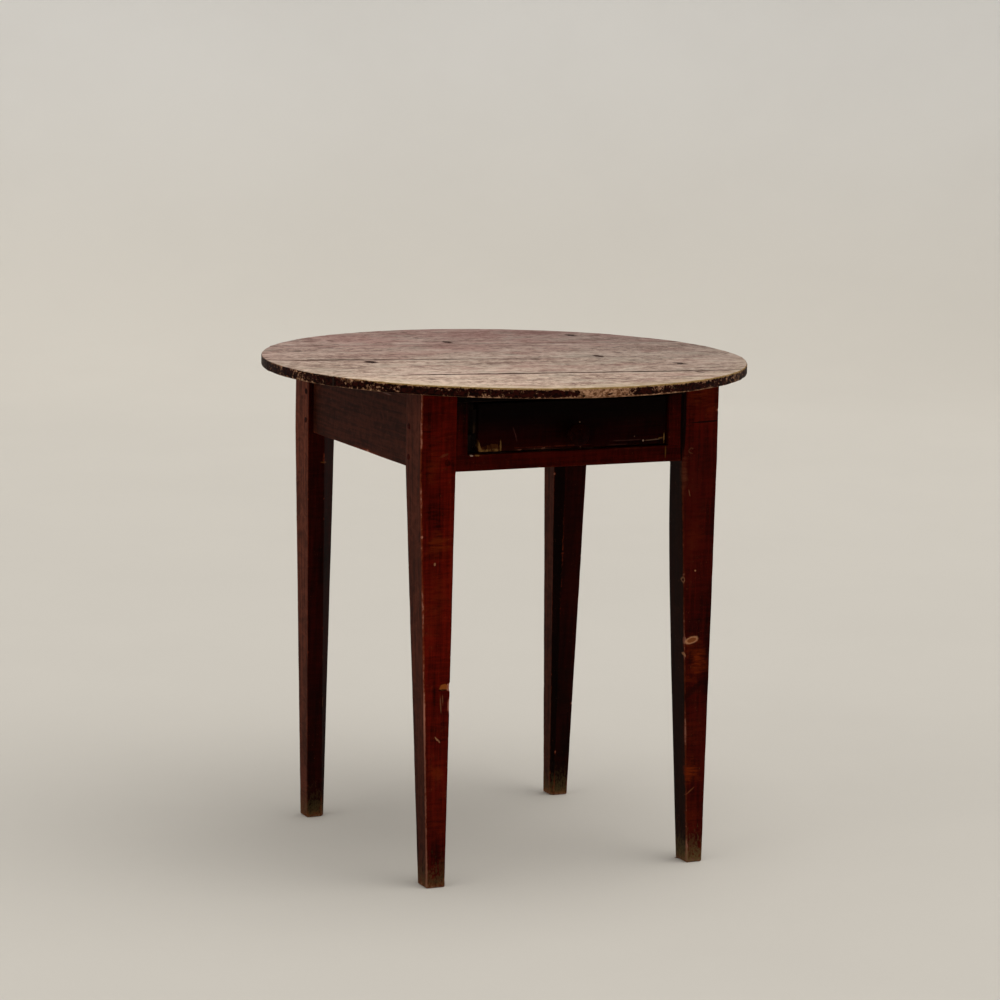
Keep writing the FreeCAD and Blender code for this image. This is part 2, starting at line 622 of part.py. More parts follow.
def frame_parts():
    """All fixed pieces, each cut for what it receives."""
    parts = {name: leg(form) for name, form in LEGS.items()}
    parts["left_apron"] = side_apron(-1)
    parts["right_apron"] = side_apron(1)
    parts["rear_apron"] = rear_apron()
    parts["drawer_rail"] = drawer_rail()
    parts["upper_rail"] = upper_rail()
    tenoned = ("left_apron", "right_apron", "rear_apron", "drawer_rail", "upper_rail")
    for name in LEGS:
        parts[name] = without(parts[name], *[parts[other] for other in tenoned])

    parts["left_stile"] = stile(FRONT_LEFT, OPENING_LEFT)
    parts["right_stile"] = stile(OPENING_RIGHT, FRONT_RIGHT)
    parts["left_runner"] = runner(LEFT_GUIDE_FACE, -1)
    parts["right_runner"] = runner(RIGHT_GUIDE_FACE, 1)
    parts["left_kicker"] = kicker(DRAWER_LEFT, -1)
    parts["right_kicker"] = kicker(DRAWER_RIGHT, 1)
    for rail in ("drawer_rail", "upper_rail"):
        parts[rail] = without(parts[rail], parts["left_stile"], parts["right_stile"])
    for side in ("left", "right"):
        parts["drawer_rail"] = parts["drawer_rail"].cut(parts[side + "_runner"])
        parts["upper_rail"] = parts["upper_rail"].cut(parts[side + "_kicker"])
    parts["left_guide"] = guide(LEFT_GUIDE_FACE, -1)
    parts["right_guide"] = guide(RIGHT_GUIDE_FACE, 1)

    parts["top_board_rear"] = board(REAR_SEAM, None)
    parts["top_board_mid_rear"] = board(MIDDLE_SEAM, REAR_SEAM)
    parts["top_board_mid_front"] = board(FRONT_SEAM, MIDDLE_SEAM)
    parts["top_board_front"] = board(None, FRONT_SEAM)

    wooden = list(parts)
    for group in (frame_pegs(), [top_nail(*place) for place in TOP_NAILS], runner_nails()):
        cut_by_group(parts, wooden, group)
    parts["frame_pegs"] = Part.makeCompound(frame_pegs())
    parts["top_nails"] = Part.makeCompound([top_nail(*place) for place in TOP_NAILS])
    parts["runner_nails"] = Part.makeCompound(runner_nails())
    parts["drawer_stops"] = Part.makeCompound(drawer_stops())
    return parts


def drawer_parts():
    """All pieces that slide, each cut for what it receives."""
    parts = {
        "drawer_left_side": drawer_side(DRAWER_LEFT, INSIDE_LEFT),
        "drawer_right_side": drawer_side(INSIDE_RIGHT, DRAWER_RIGHT),
    }
    panel = drawer_bottom()
    turned = knob()
    parts["drawer_front"] = without(drawer_front(), parts["drawer_left_side"], parts["drawer_right_side"],
                                    panel, turned)
    for name in ("drawer_left_side", "drawer_right_side"):
        parts[name] = parts[name].cut(panel)
    parts["drawer_back"] = drawer_back()
    parts["drawer_bottom"] = panel
    nailed = ("drawer_left_side", "drawer_right_side", "drawer_back", "drawer_bottom")
    cut_by_group(parts, nailed, drawer_nails())
    parts["drawer_knob"] = turned
    parts["drawer_nails"] = Part.makeCompound(drawer_nails())
    return parts


def main():
    os.makedirs("parts", exist_ok=True)
    parts = frame_parts()
    parts.update(drawer_parts())
    for name, shape in parts.items():
        shape.exportStep(os.path.join("parts", name + ".step"))
        volume = round(shape.Volume / 1000, 2)
        print(name, "solids", len(shape.Solids), "valid", shape.isValid(), "cm3", volume)


main()
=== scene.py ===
import math
import random

import bmesh
import bpy
import numpy as np
from mathutils import Matrix, Vector, geometry


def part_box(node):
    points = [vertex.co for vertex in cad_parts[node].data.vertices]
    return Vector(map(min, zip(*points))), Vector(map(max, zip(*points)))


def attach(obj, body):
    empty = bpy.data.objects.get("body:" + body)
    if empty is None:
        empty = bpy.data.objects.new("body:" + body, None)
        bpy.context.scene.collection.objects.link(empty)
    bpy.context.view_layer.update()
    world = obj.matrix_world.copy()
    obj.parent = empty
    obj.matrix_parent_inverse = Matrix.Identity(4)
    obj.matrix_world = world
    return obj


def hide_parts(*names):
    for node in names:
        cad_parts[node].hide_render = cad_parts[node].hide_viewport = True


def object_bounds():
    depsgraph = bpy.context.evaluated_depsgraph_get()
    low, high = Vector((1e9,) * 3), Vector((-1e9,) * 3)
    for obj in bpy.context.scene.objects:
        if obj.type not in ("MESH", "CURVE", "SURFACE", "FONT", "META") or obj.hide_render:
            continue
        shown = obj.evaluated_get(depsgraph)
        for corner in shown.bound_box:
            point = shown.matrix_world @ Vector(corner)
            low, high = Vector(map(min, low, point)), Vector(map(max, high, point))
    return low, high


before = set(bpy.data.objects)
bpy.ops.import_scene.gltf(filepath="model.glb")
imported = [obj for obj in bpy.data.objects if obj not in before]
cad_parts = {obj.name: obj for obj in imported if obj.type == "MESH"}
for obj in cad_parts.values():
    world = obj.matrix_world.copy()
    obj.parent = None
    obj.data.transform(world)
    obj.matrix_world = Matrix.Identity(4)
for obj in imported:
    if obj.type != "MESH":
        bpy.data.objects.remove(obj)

bl_info = {
    "name": "Tavern table",
    "version": (1, 0, 0),
    "blender": (4, 5, 0),
    "location": "View3D > Sidebar > Tavern table",
    "description": "Dresses the frame of a round tavern table with worn boards, old paint and iron",
    "category": "Object",
}

CAD_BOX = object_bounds()

# Metres. +Z is up, the floor is Z = 0 and the drawer opens towards -Y.

# ---- sizes read from the frame ----

FRONT_LEFT_LOW, FRONT_LEFT_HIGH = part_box("leg_front_left")
APRON_LOW, APRON_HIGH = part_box("left_apron")
REAR_LOW, REAR_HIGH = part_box("rear_apron")
RAIL_LOW, RAIL_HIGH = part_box("drawer_rail")
UPPER_LOW, UPPER_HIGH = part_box("upper_rail")
FRONT_LOW, FRONT_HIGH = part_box("drawer_front")
KNOB_LOW, KNOB_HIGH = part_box("drawer_knob")

TABLE_HEIGHT = CAD_BOX[1].z
RIM_SHY = 0.00001
TOP_RADIUS = min(-CAD_BOX[0].x, -CAD_BOX[0].y, CAD_BOX[1].x, CAD_BOX[1].y) - RIM_SHY
FRAME_TOP = APRON_HIGH.z
HALF_DEPTH = -FRONT_LEFT_LOW.y
SHOULDER_Y = -FRONT_LEFT_HIGH.y
LEG_DEPTH = HALF_DEPTH - SHOULDER_Y
FRONT_LEFT = FRONT_LEFT_HIGH.x
FRONT_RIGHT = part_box("leg_front_right")[0].x
REAR_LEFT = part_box("leg_rear_left")[1].x
REAR_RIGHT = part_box("leg_rear_right")[0].x
APRON_BOTTOM = APRON_LOW.z

# ---- sizes of the pieces' shapes ----

# Legs: a head where the aprons join, and a taper below it with the inner corner cut off. Each has its own
# side and end, width and depth at the foot, lean of the outer face, cut of the corner at the top and at the
# foot, and how fast that cut fades.
LEG_CUT_START = 0.001
LEG_CUT_STOP = 0.007
FOOT_ROUNDING = 0.0022
FOOT_STEPS = 4
TAPER_STEPS = 25
CUT_STEPS = 6
LEGS = {
    "leg_front_left": {
        "side": -1, "end": -1, "foot": (0.0285, 0.031), "lean": 0.020,
        "cut": 0.014, "foot_cut": 0.0005, "fade": 5,
    },
    "leg_front_right": {
        "side": 1, "end": -1, "foot": (0.025, 0.034), "lean": 0.0065,
        "cut": 0.014, "foot_cut": 0.0005, "fade": 5,
    },
    "leg_rear_left": {
        "side": -1, "end": 1, "foot": (0.0285, 0.028), "lean": 0.0155,
        "cut": 0.027, "foot_cut": 0.005, "fade": 1,
    },
    "leg_rear_right": {
        "side": 1, "end": 1, "foot": (0.028, 0.028), "lean": 0.012,
        "cut": 0.014, "foot_cut": 0.005, "fade": 1,
    },
}

# Wear of the legs. depth is that of the paint's colour, curl the share of thin orange paint, dirt that at
# the foot, and darkening the height where the paint starts to darken downwards, where it is full, and how
# full. lines says how far each arris is rubbed, from the outer corner round past the inner end of the front
# or rear face; dark is the share of painted shade on the side after each arris, and faded that of brown
# paint, also a painted sheen. rubbed are (centre, size, amount) of larger rubbed places, and dents are
# (arris, height, half length, depth) of single chips.
LEG_WEAR = {
    "leg_front_left": {
        "depth": 0.93, "curl": 0.25, "dirt": 0.45, "darkening": (0.36, 0.10, 0.30),
        "lines": (1.3, 0.5, 0.4, 0.4, 0.4),
        "dark": {1: 0.4, 2: 0.4, 3: 0.4, 4: 0.35}, "faded": {4: 0.9, 3: 0.5},
        "rubbed": [((-0.206, -HALF_DEPTH, 0.340), (0.022, 0.012, 0.080), 0.32)],
        "dents": [(1, 0.288, 0.007, 0.0034), (1, 0.262, 0.012, 0.0012)],
    },
    "leg_front_right": {
        "depth": 0.78, "curl": 0.2, "dirt": 0.90, "darkening": (0.655, 0.610, 0.38),
        "lines": (0.5, 1.0, 0.4, 0.4, 0.5),
        "dark": {0: 0.2, 1: 0.78, 2: 0.5, 3: 0.5}, "faded": {1: 0.7, 3: 0.5, 4: 0.6},
        "rubbed": [((0.202, -HALF_DEPTH, 0.190), (0.022, 0.02, 0.060), 0.12)],
        "dents": [(1, 0.331, 0.005, 0.0010)],
    },
    "leg_rear_left": {
        "depth": 1.0, "curl": 0.12, "dirt": 0.5, "darkening": (0.50, 0.12, 0.28),
        "lines": (0.8, 0.6, 0.5, 0.45, 0.5),
        "dark": {1: 0.5, 2: 0.75, 3: 0.72}, "faded": {4: 1.0, 0: 0.4},
        "rubbed": [((-0.202, SHOULDER_Y, 0.552), (0.014, 0.012, 0.014), 0.6)],
        "dents": [],
    },
    "leg_rear_right": {
        "depth": 1.0, "curl": 0.12, "dirt": 0.5, "darkening": (0.50, 0.12, 0.2),
        "lines": (0.8, 0.6, 0.5, 0.6, 0.5),
        "dark": {1: 0.45, 2: 0.95, 3: 0.82}, "faded": {1: 0.9, 0: 0.4},
        "rubbed": [((0.20, 0.19, 0.36), (0.012, 0.02, 0.10), 0.25)],
        "dents": [],
    },
}

# Height of the part of a foot that is worn and dirty.
FOOT_WEAR = 0.05

# Tenons and shoulders.
TENON_THICKNESS = 0.010
TENON_INSET = 0.005
TENON_SHOULDER_BOTTOM = 0.009
TENON_SHOULDER_TOP = 0.012
RAIL_TENON_FRONT = 0.010
RAIL_TENON_DEPTH = 0.035
RAIL_TENON_BOTTOM = 0.006
RAIL_TENON_HEIGHT = 0.014
DOVETAIL_NECK = 0.026
DOVETAIL_END = 0.034
STILE_THICKNESS = 0.022

# Boards of the top. A seam is given by its distance from the middle line of the boards where it crosses the
# rim on the left and on the right, and by how far it stands open.
BOARD_ANGLE = math.radians(-9.5)
REAR_SEAM = (0.162, 0.154, 0.0006)
MIDDLE_SEAM = (-0.006, -0.042, 0.0006)
FRONT_SEAM = (-0.190, -0.186, 0.0016)

# Boards that lie lower than the one behind: the seam between them, from and to along it, and how far.
SETTLED = {
    "top_board_mid_front": (MIDDLE_SEAM, -0.37, 0.03, 0.0007),
    "top_board_front": (FRONT_SEAM, -0.21, 0.34, 0.0006),
}

# Dirt and worn wood along the seams: the seam, from and to along it, half width, strength, distance off it.
SEAM_DIRT = (
    (MIDDLE_SEAM, -0.36, -0.03, 0.0045, 0.65, 0.0), (MIDDLE_SEAM, -0.06, 0.34, 0.0035, 0.22, 0.0),
    (FRONT_SEAM, -0.21, 0.20, 0.0056, 0.74, 0.0), (FRONT_SEAM, 0.10, 0.34, 0.0050, 0.58, 0.0),
    (FRONT_SEAM, -0.34, -0.15, 0.0030, 0.25, 0.0), (REAR_SEAM, -0.05, 0.32, 0.0045, 0.45, 0.0),
    (REAR_SEAM, -0.32, -0.02, 0.0030, 0.25, 0.0), (FRONT_SEAM, -0.10, 0.28, 0.0240, 0.16, 0.0),
)
SEAM_WEAR = ((FRONT_SEAM, -0.22, 0.22, 0.0060, 0.35, -0.011), (FRONT_SEAM, -0.20, 0.20, 0.0060, 0.35, 0.011))

# Nail heads in the top: X, Y and the darkness of the iron stain. The other nails lie under old filler. Below
# them are half the sizes of both kinds of stain, and the darkness of the one over a filled nail.
SHOWN_NAILS = {(0.214, 0.218): 0.75, (-0.2145, -0.008): 1.0, (0.2145, -0.142): 0.65}
FILLED_NAILS = (
    (-0.211, -0.215), (0.211, -0.215), (-0.214, 0.218), (-0.2145, 0.120), (0.2145, 0.012), (0.2145, 0.128),
    (-0.080, 0.2185), (0.095, 0.2185), (-0.085, -0.212), (0.095, -0.216),
)
TOP_NAILS = (*SHOWN_NAILS, *FILLED_NAILS)
SHOWN_STAIN = (0.0115, 0.0190, 0.01)
FILLED_STAIN = (0.0095, 0.0085, 0.01)
FILLED_STRENGTH = 0.15

# Knots and stains of the top: X, Y, half the size along X and along Y, and darkness.
TOP_MARKS = (
    (0.138, -0.030, 0.0100, 0.0190, 1.00), (0.186, -0.002, 0.0070, 0.0120, 0.65),
    (-0.008, 0.186, 0.0095, 0.0190, 1.00), (-0.030, 0.200, 0.0220, 0.0100, 0.30),
    (0.025, 0.026, 0.0060, 0.0080, 0.35), (0.196, -0.238, 0.0070, 0.0160, 0.80),
    (-0.021, 0.317, 0.0060, 0.0140, 0.45), (-0.208, -0.206, 0.0085, 0.0120, 0.70),
    (-0.211, 0.200, 0.0120, 0.0070, 0.40), (-0.205, 0.170, 0.0070, 0.0140, 0.50),
    (-0.268, 0.141, 0.0080, 0.0130, 0.60), (-0.170, 0.251, 0.0080, 0.0140, 0.50),
    (0.138, -0.030, 0.0220, 0.0330, 0.20), (-0.008, 0.186, 0.0280, 0.0360, 0.22),
    (0.246, -0.075, 0.0200, 0.0050, 0.25), (0.140, 0.215, 0.0100, 0.0130, 0.35),
    (-0.100, -0.045, 0.0400, 0.0060, 0.25), (0.031, -0.040, 0.0110, 0.0120, 0.55),
)


def tone(red, green, blue):
    """Scene-linear colour from the 0 to 255 values that a screen shows."""
    shares = [value / 255 for value in (red, green, blue)]
    return tuple(c / 12.92 if c <= 0.04045 else ((c + 0.055) / 1.055) ** 2.4 for c in shares)


# ---- smooth random curves and surfaces ----

LATTICE = 257

# How fast the rubbing of an arris fades away from it, and how far from an end or a joint wear changes.
RUB_WIDTH = 0.0011
END_WIDTH = 0.004

# Rounding of an arris that lies against a neighbour, and the depth of the deepest chips elsewhere.
TIGHT_ARRIS = 0.00025
CHIP_DEPTH = 0.0012

# Lengths over which chips, roundings and rubbed lines waver, and lengths and widths of the plane's marks.
CHIP_WAVER = 0.0025
ARRIS_WAVER = 0.022
LINE_WAVER = 0.05
PLANE_MARKS = (0.07, 0.025)
FINE_MARKS = (0.013, 0.008)

# Steps round an arris, and their length along a bar, along a long one and across the sides.
ARC_STEPS = 4
BAR_STEP = 0.003
LONG_STEP = 0.004
SIDE_STEP = 0.0045


def eased(share):
    return share * share * (3 - 2 * share)


def drift(place, length, seed):
    """Smooth random curve from -1 to 1 that turns about once in each length."""
    knots = np.random.default_rng(seed).uniform(-1, 1, LATTICE)
    share = np.asarray(place, float) / length + LATTICE
    cell = np.floor(share).astype(int)
    blend = eased(share - cell)
    return knots[cell % LATTICE] * (1 - blend) + knots[(cell + 1) % LATTICE] * blend


def relief(along, across, length, width, seed):
    """Smooth random surface from -1 to 1 whose features have the given length and width."""
    knots = np.random.default_rng(seed).uniform(-1, 1, (LATTICE, LATTICE))
    shares = [np.asarray(along, float) / length + LATTICE, np.asarray(across, float) / width + LATTICE]
    cells = [np.floor(share).astype(int) for share in shares]
    blends = [eased(share - cell) for share, cell in zip(shares, cells)]
    low, high = [cell % LATTICE for cell in cells], [(cell + 1) % LATTICE for cell in cells]
    near = knots[low[0], low[1]] * (1 - blends[0]) + knots[high[0], low[1]] * blends[0]
    far = knots[low[0], high[1]] * (1 - blends[0]) + knots[high[0], high[1]] * blends[0]
    return near * (1 - blends[1]) + far * blends[1]


# ---- making meshes ----

# Edges that turn by more than this stay sharp in the shading, and are rounded where a CAD shape is kept.
SHARP_ANGLE = math.radians(40)


def piece(name, points, faces, attributes, body, replaced, finish):
    """Links a new smooth-shaded piece that rides on a body and stands for CAD nodes."""
    mesh = bpy.data.meshes.new(name)
    mesh.from_pydata(points.tolist(), [], faces)
    solid = bmesh.new()
    solid.from_mesh(mesh)
    if solid.calc_volume(signed=True) < 0:
        mesh.flip_normals()
    solid.free()
    for key, values in attributes.items():
        layer = mesh.attributes.new(key, "FLOAT", "POINT")
        layer.data.foreach_set("value", np.asarray(values, np.float32))
    mesh.shade_smooth()
    mesh.set_sharp_from_angle(angle=SHARP_ANGLE)
    mesh.materials.append(finish)
    made = bpy.data.objects.new(name, mesh)
    bpy.context.scene.collection.objects.link(made)
    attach(made, body)
    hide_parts(*replaced)
    return made


def turned_left(vectors):
    return np.stack([-vectors[..., 1], vectors[..., 0]], axis=-1)


def inset(outline, distance):
    """A convex outline moved inwards by a distance on every side."""
    outline = np.asarray(outline, float)
    after = np.roll(outline, -1, axis=0) - outline
    after /= np.linalg.norm(after, axis=1, keepdims=True)
    before = np.roll(after, 1, axis=0)
    area = np.sum(before[:, 0] * after[:, 1] - before[:, 1] * after[:, 0])
    normals = turned_left(before) + turned_left(after)
    normals /= (1 + np.sum(turned_left(before) * turned_left(after), axis=1, keepdims=True))
    return outline + normals * distance * np.sign(area)


def refined(stations, step):
    """Adds sections between the given ones. Two given at one place make a flat shoulder."""
    places, outlines = [stations[0][0]], [np.asarray(stations[0][1], float)]
    for (start, first), (end, last) in zip(stations, stations[1:]):
        first, last = np.asarray(first, float), np.asarray(last, float)
        count = max(1, math.ceil(abs(end - start) / step))
        for k in range(1, count + 1):
            places.append(start + (end - start) * k / count)
            outlines.append(first + (last - first) * k / count)
    return np.array(places), np.array(outlines)


def chip_profile(places, count, size, seed):
    """Random chips along an arris: how much each widens its rounding at every place."""
    draw = random.Random(seed)
    widening = np.zeros(len(places))
    low, high = min(places), max(places)
    ragged = 1 + 0.5 * drift(places, CHIP_WAVER, seed + 5)
    for _ in range(count):
        middle = draw.uniform(low, high)
        half = draw.uniform(1.0, 5.0) * size
        depth = size * draw.uniform(0.3, 1.0) ** 2.5
        steep, gentle = draw.choice(((0.35, 1.0), (1.0, 0.35)))
        away = places - middle
        share = np.clip(np.where(away < 0, -away / (half * steep), away / (half * gentle)), 0, 1)
        widening = np.maximum(widening, depth * (1 - share) ** 0.8 * ragged)
    return widening


def arris_rounding(along, turn, lengths, own, joined, lines, arris, chip_size, seed):
    """For each arris: how far back its rounding reaches, its radius, and how much it is rubbed."""
    loose = 1 - np.stack(joined, axis=1)
    widening = np.stack(own, axis=1) * loose
    uneven = [1 + 0.45 * drift(along, ARRIS_WAVER, seed * 17 + i) for i in range(len(lines))]
    rubbed = [line * (1 + 0.3 * drift(along, LINE_WAVER, seed * 13 + i)) for i, line in enumerate(lines)]
    rubbed = np.stack(rubbed, axis=1) * loose + np.clip(widening / chip_size, 0, 1.2)
    radius = (arris - TIGHT_ARRIS) * np.stack(uneven, axis=1) * loose + TIGHT_ARRIS + widening
    reach = np.minimum(radius * np.tan(turn / 2), 0.45 * np.minimum(lengths, np.roll(lengths, 1, axis=1)))
    return reach, reach / np.tan(turn / 2), rubbed


def rounded_sections(corners, before, after, turn, lengths, rounding, by_side, side_step):
    """Points round a bar with an arc at each arris: places, inward directions, wear, kinds and girth."""
    reach, radius, rubbed = rounding
    count = corners.shape[1]
    columns, inward, wear, kinds, girth = [], [], [], [], []
    run = 0.0
    for i in range(count):
        normal = turned_left(before[:, i])
        strength = rubbed[:, i]
        for k in range(ARC_STEPS + 1):
            angle = turn[:, i] * k / ARC_STEPS
            sine, cosine = np.sin(angle)[:, None], np.cos(angle)[:, None]
            start = corners[:, i] - before[:, i] * reach[:, i, None]
            columns.append(start + radius[:, i, None] * (sine * before[:, i] + (1 - cosine) * normal))
            inward.append(cosine * normal - sine * before[:, i])
            wear.append(strength)
            kinds.append([a + (b - a) * k / ARC_STEPS for a, b in zip(by_side[i - 1], by_side[i])])
            girth.append(run + 0.001 * k)
        run += 0.001 * ARC_STEPS
        j = (i + 1) % count
        start = corners[:, i] + after[:, i] * reach[:, i, None]
        end = corners[:, j] - after[:, i] * reach[:, j, None]
        span = np.linalg.norm(end - start, axis=1)
        steps = max(2, math.ceil(lengths[:, i].max() / side_step))
        for k in range(1, steps):
            share = k / steps
            near, far = span * share, span * (1 - share)
            columns.append(start + (end - start) * share)
            inward.append(turned_left(after[:, i]))
            wear.append(np.maximum(strength * np.exp(-near / RUB_WIDTH),
                                   rubbed[:, j] * np.exp(-far / RUB_WIDTH)))
            kinds.append(by_side[i])
            girth.append(run + span.max() * share)
        run += span.max()
    return (np.stack(columns, axis=1), np.stack(inward, axis=1), np.stack(wear, axis=1), np.array(kinds),
            np.array(girth))


def ring_faces(rings, turns, start=0):
    """Quads between rings of points that follow each other."""
    faces = []
    for first in range(start, start + (rings - 1) * turns, turns):
        second = first + turns
        for k in range(turns):
            n = (k + 1) % turns
            faces.append((first + k, first + n, second + n, second + k))
    return faces


def fan_faces(tip, ring, turns):
    """Triangles between a tip and a ring of points."""
    return [(tip, ring + (k + 1) % turns, ring + k) for k in range(turns)]


def flipped(faces):
    return [face[::-1] for face in faces]


def closed_bar(grid, along, wear, kinds):
    """Faces round the rings of a bar and over its two ends: sections, heights, wear, kinds and faces."""
    rings, around = wear.shape
    flat, heights = [grid.reshape(-1, 2)], [np.repeat(along, around)]
    wears, sides = [wear.reshape(-1)], [np.tile(kinds, (rings, 1))]
    faces = ring_faces(rings, around)
    total = rings * around
    for ring in (0, rings - 1):
        middle = grid[ring].mean(axis=0)
        base = ring * around
        for share in (0.8, 0.45):
            flat.append(middle + (grid[ring] - middle) * share)
            heights.append(np.full(around, along[ring]))
            wears.append(wear[ring] * share ** 3)
            sides.append(kinds)
            for k in range(around):
                n = (k + 1) % around
                quad = (base + k, total + k, total + n, base + n)
                faces.append(quad if ring == 0 else quad[::-1])
            base = total
            total += around
        flat.append(middle[None])
        heights.append(np.array([along[ring]]))
        wears.append(np.zeros(1))
        sides.append(kinds.mean(axis=0)[None])
        fan = fan_faces(total, base, around)
        faces += fan if ring == 0 else flipped(fan)
        total += 1
    return (*(np.concatenate(values) for values in (flat, heights, wears, sides)), faces)


def worn_bar(node, stations, place, seed, settings, finish, body="frame", arris=1.0, chips=8,
             chip_size=CHIP_DEPTH, bare_sides=(), worn_ends=(), lines=None, dents=(), joints=(),
             painted_shade_sides=None, sheen_and_faded_sides=None, step=BAR_STEP, side_step=SIDE_STEP):
    """Bar with flat sides through sections, with rounded and chipped arrises and a hand-planed surface.

    stations are (place along the bar, corners of the section); place turns (u, v, along) into X, Y and Z.
    arris is a share of the usual rounding and lines says how far each arris is rubbed. dents are (arris,
    place, half length, depth) of single chips, and joints are (arris, from, to) where an arris lies against
    a neighbour and is sharp and whole. painted_shade_sides and sheen_and_faded_sides give a share for some
    of
    the sides. Attributes: wear is 1 at a rubbed arris and more at a chip, bare is 1 on sides without paint,
    dark is the share of painted shade on a side, and faded the share of brown paint, also a painted sheen.
    """
    along, corners = refined(stations, step)
    count = corners.shape[1]
    lines = list(lines or [0.7] * count)
    painted_shade_sides, sheen_and_faded_sides = painted_shade_sides or {}, sheen_and_faded_sides or {}
    own = [chip_profile(along, chips, chip_size, seed * 31 + i) for i in range(count)]
    for i, middle, half, depth in dents:
        own[i] = np.maximum(own[i], depth * np.clip(1 - ((along - middle) / half) ** 2, 0, 1) ** 0.6)
    joined = [np.zeros(len(along)) for i in range(count)]
    for i, start, end in joints:
        within = np.minimum(along - start, end - along)
        joined[i] = np.maximum(joined[i], np.clip(within / END_WIDTH + 1, 0, 1))
    by_side = [[float(i in bare_sides), painted_shade_sides.get(i, 0.0), sheen_and_faded_sides.get(i, 0.0)]
               for i in range(count)]
    edges = np.roll(corners, -1, axis=1) - corners
    if np.sum(corners[0, :, 0] * edges[0, :, 1] - corners[0, :, 1] * edges[0, :, 0]) < 0:
        corners = corners[:, ::-1]
        lines, own, joined = lines[::-1], own[::-1], joined[::-1]
        by_side = [by_side[(count - 2 - j) % count] for j in range(count)]
        edges = np.roll(corners, -1, axis=1) - corners
    lengths = np.maximum(np.linalg.norm(edges, axis=2), 1e-9)
    after = edges / lengths[..., None]
    before = np.roll(after, 1, axis=1)
    turn = np.arctan2(before[..., 0] * after[..., 1] - before[..., 1] * after[..., 0],
                      np.sum(before * after, axis=2))
    rounding = arris_rounding(along, turn, lengths, own, joined, lines, arris * settings.arris, chip_size,
                              seed)
    grid, inward, wear, kinds, girth = rounded_sections(corners, before, after, turn, lengths, rounding,
                                                        by_side, side_step)
    reached = np.broadcast_to(along[:, None], wear.shape)
    girth = np.broadcast_to(girth, wear.shape)
    hollow = settings.wave * (0.5 + 0.5 * relief(reached, girth, *PLANE_MARKS, seed * 7 + 1))
    hollow = hollow + 0.35 * settings.wave * (0.5 + 0.5 * relief(reached, girth, *FINE_MARKS, seed * 7 + 2))
    grid = grid + inward * hollow[..., None]
    for end in worn_ends:
        wear = np.maximum(wear, 1.2 * np.exp(-np.abs(reached - end) / END_WIDTH))
    sections, heights, wear, sides, faces = closed_bar(grid, along, wear, kinds)
    points = place(sections[:, 0], sections[:, 1], heights)
    values = {"wear": wear, "bare": sides[:, 0], "dark": sides[:, 1], "faded": sides[:, 2]}
    return piece(node + "_worn", points, faces, values, body, [node], finish)


def upright(u, v, along):
    return np.stack([u, v, along], axis=1)


def left_to_right(u, v, along):
    return np.stack([along, u, v], axis=1)


def front_to_back(u, v, along):
    return np.stack([u, along, v], axis=1)


def rectangle(low, high):
    return [(low[0], low[1]), (high[0], low[1]), (high[0], high[1]), (low[0], high[1])]


# ---- the boards of the top ----

# Steps along a board's outline and between the points inside it, above and below.
OUTLINE_STEP = 0.0024
UPPER_STEP = 0.0055
UNDER_STEP = 0.018

# Rounding of the rim's lower arris and of a seam's, and rings of points round a nail: radius and number.
LOWER_ARRIS = 0.0012
LOWER_SEAM_ARRIS = 0.0005
NAIL_CLEARING = 0.0105
NAIL_RINGS = ((0.002, 6), (0.004, 10), (0.0055, 14), (0.007, 16), (0.0088, 16))

# Widths of the dent round a nail and of the filler over one, and how deep the filler lies.
DENT_WIDTH = 0.0062
FILLER_WIDTH = 0.0085
FILLER_DEPTH = 0.0001

# Lengths and widths of the worn hollows, and how far a settled edge runs out along the seam and off it.
HOLLOWS = (0.16, 0.045)
SMALL_HOLLOWS = (0.04, 0.012)
SETTLED_RUN = 0.08
SETTLED_WIDTH = 0.010
SETTLED_WAVER = 0.05

# Lengths over which the rim's and the seams' arrises waver, the size of the rim's bites, and its levels.
RIM_WAVER = 0.018
SEAM_WAVER = 0.03
LOWER_WAVER = 0.02
BITE_SIZE = (0.009, 0.005)
RIM_LEVELS = 5

# How far in the first ring of the underside lies, and the last two of the upper face with their wear.
UNDER_RING = 0.0025
UPPER_RINGS = ((0.0012, 0.5), (0.004, 0.2))

# How far the worn face lies under the CAD one at least.
FACE_SHY = 0.00005

GRAIN = np.array((math.cos(BOARD_ANGLE), math.sin(BOARD_ANGLE)))
ACROSS = np.array((-math.sin(BOARD_ANGLE), math.cos(BOARD_ANGLE)))


def seam_line(seam, which):
    """Distance from the middle line at the centre and slope of a board's edge at a seam."""
    left, right, gap = seam
    return (left + right) / 2 + which * gap / 2, (right - left) / (2 * TOP_RADIUS)


def seam_ends(line):
    """Where a board's straight edge meets the rim, left and right, along and across the boards."""
    middle, slope = line
    square = 1 + slope ** 2
    root = math.sqrt((middle * slope) ** 2 - square * (middle ** 2 - TOP_RADIUS ** 2))
    ends = [(-middle * slope + sign * root) / square for sign in (-1, 1)]
    return [np.array((u, middle + slope * u)) for u in ends]


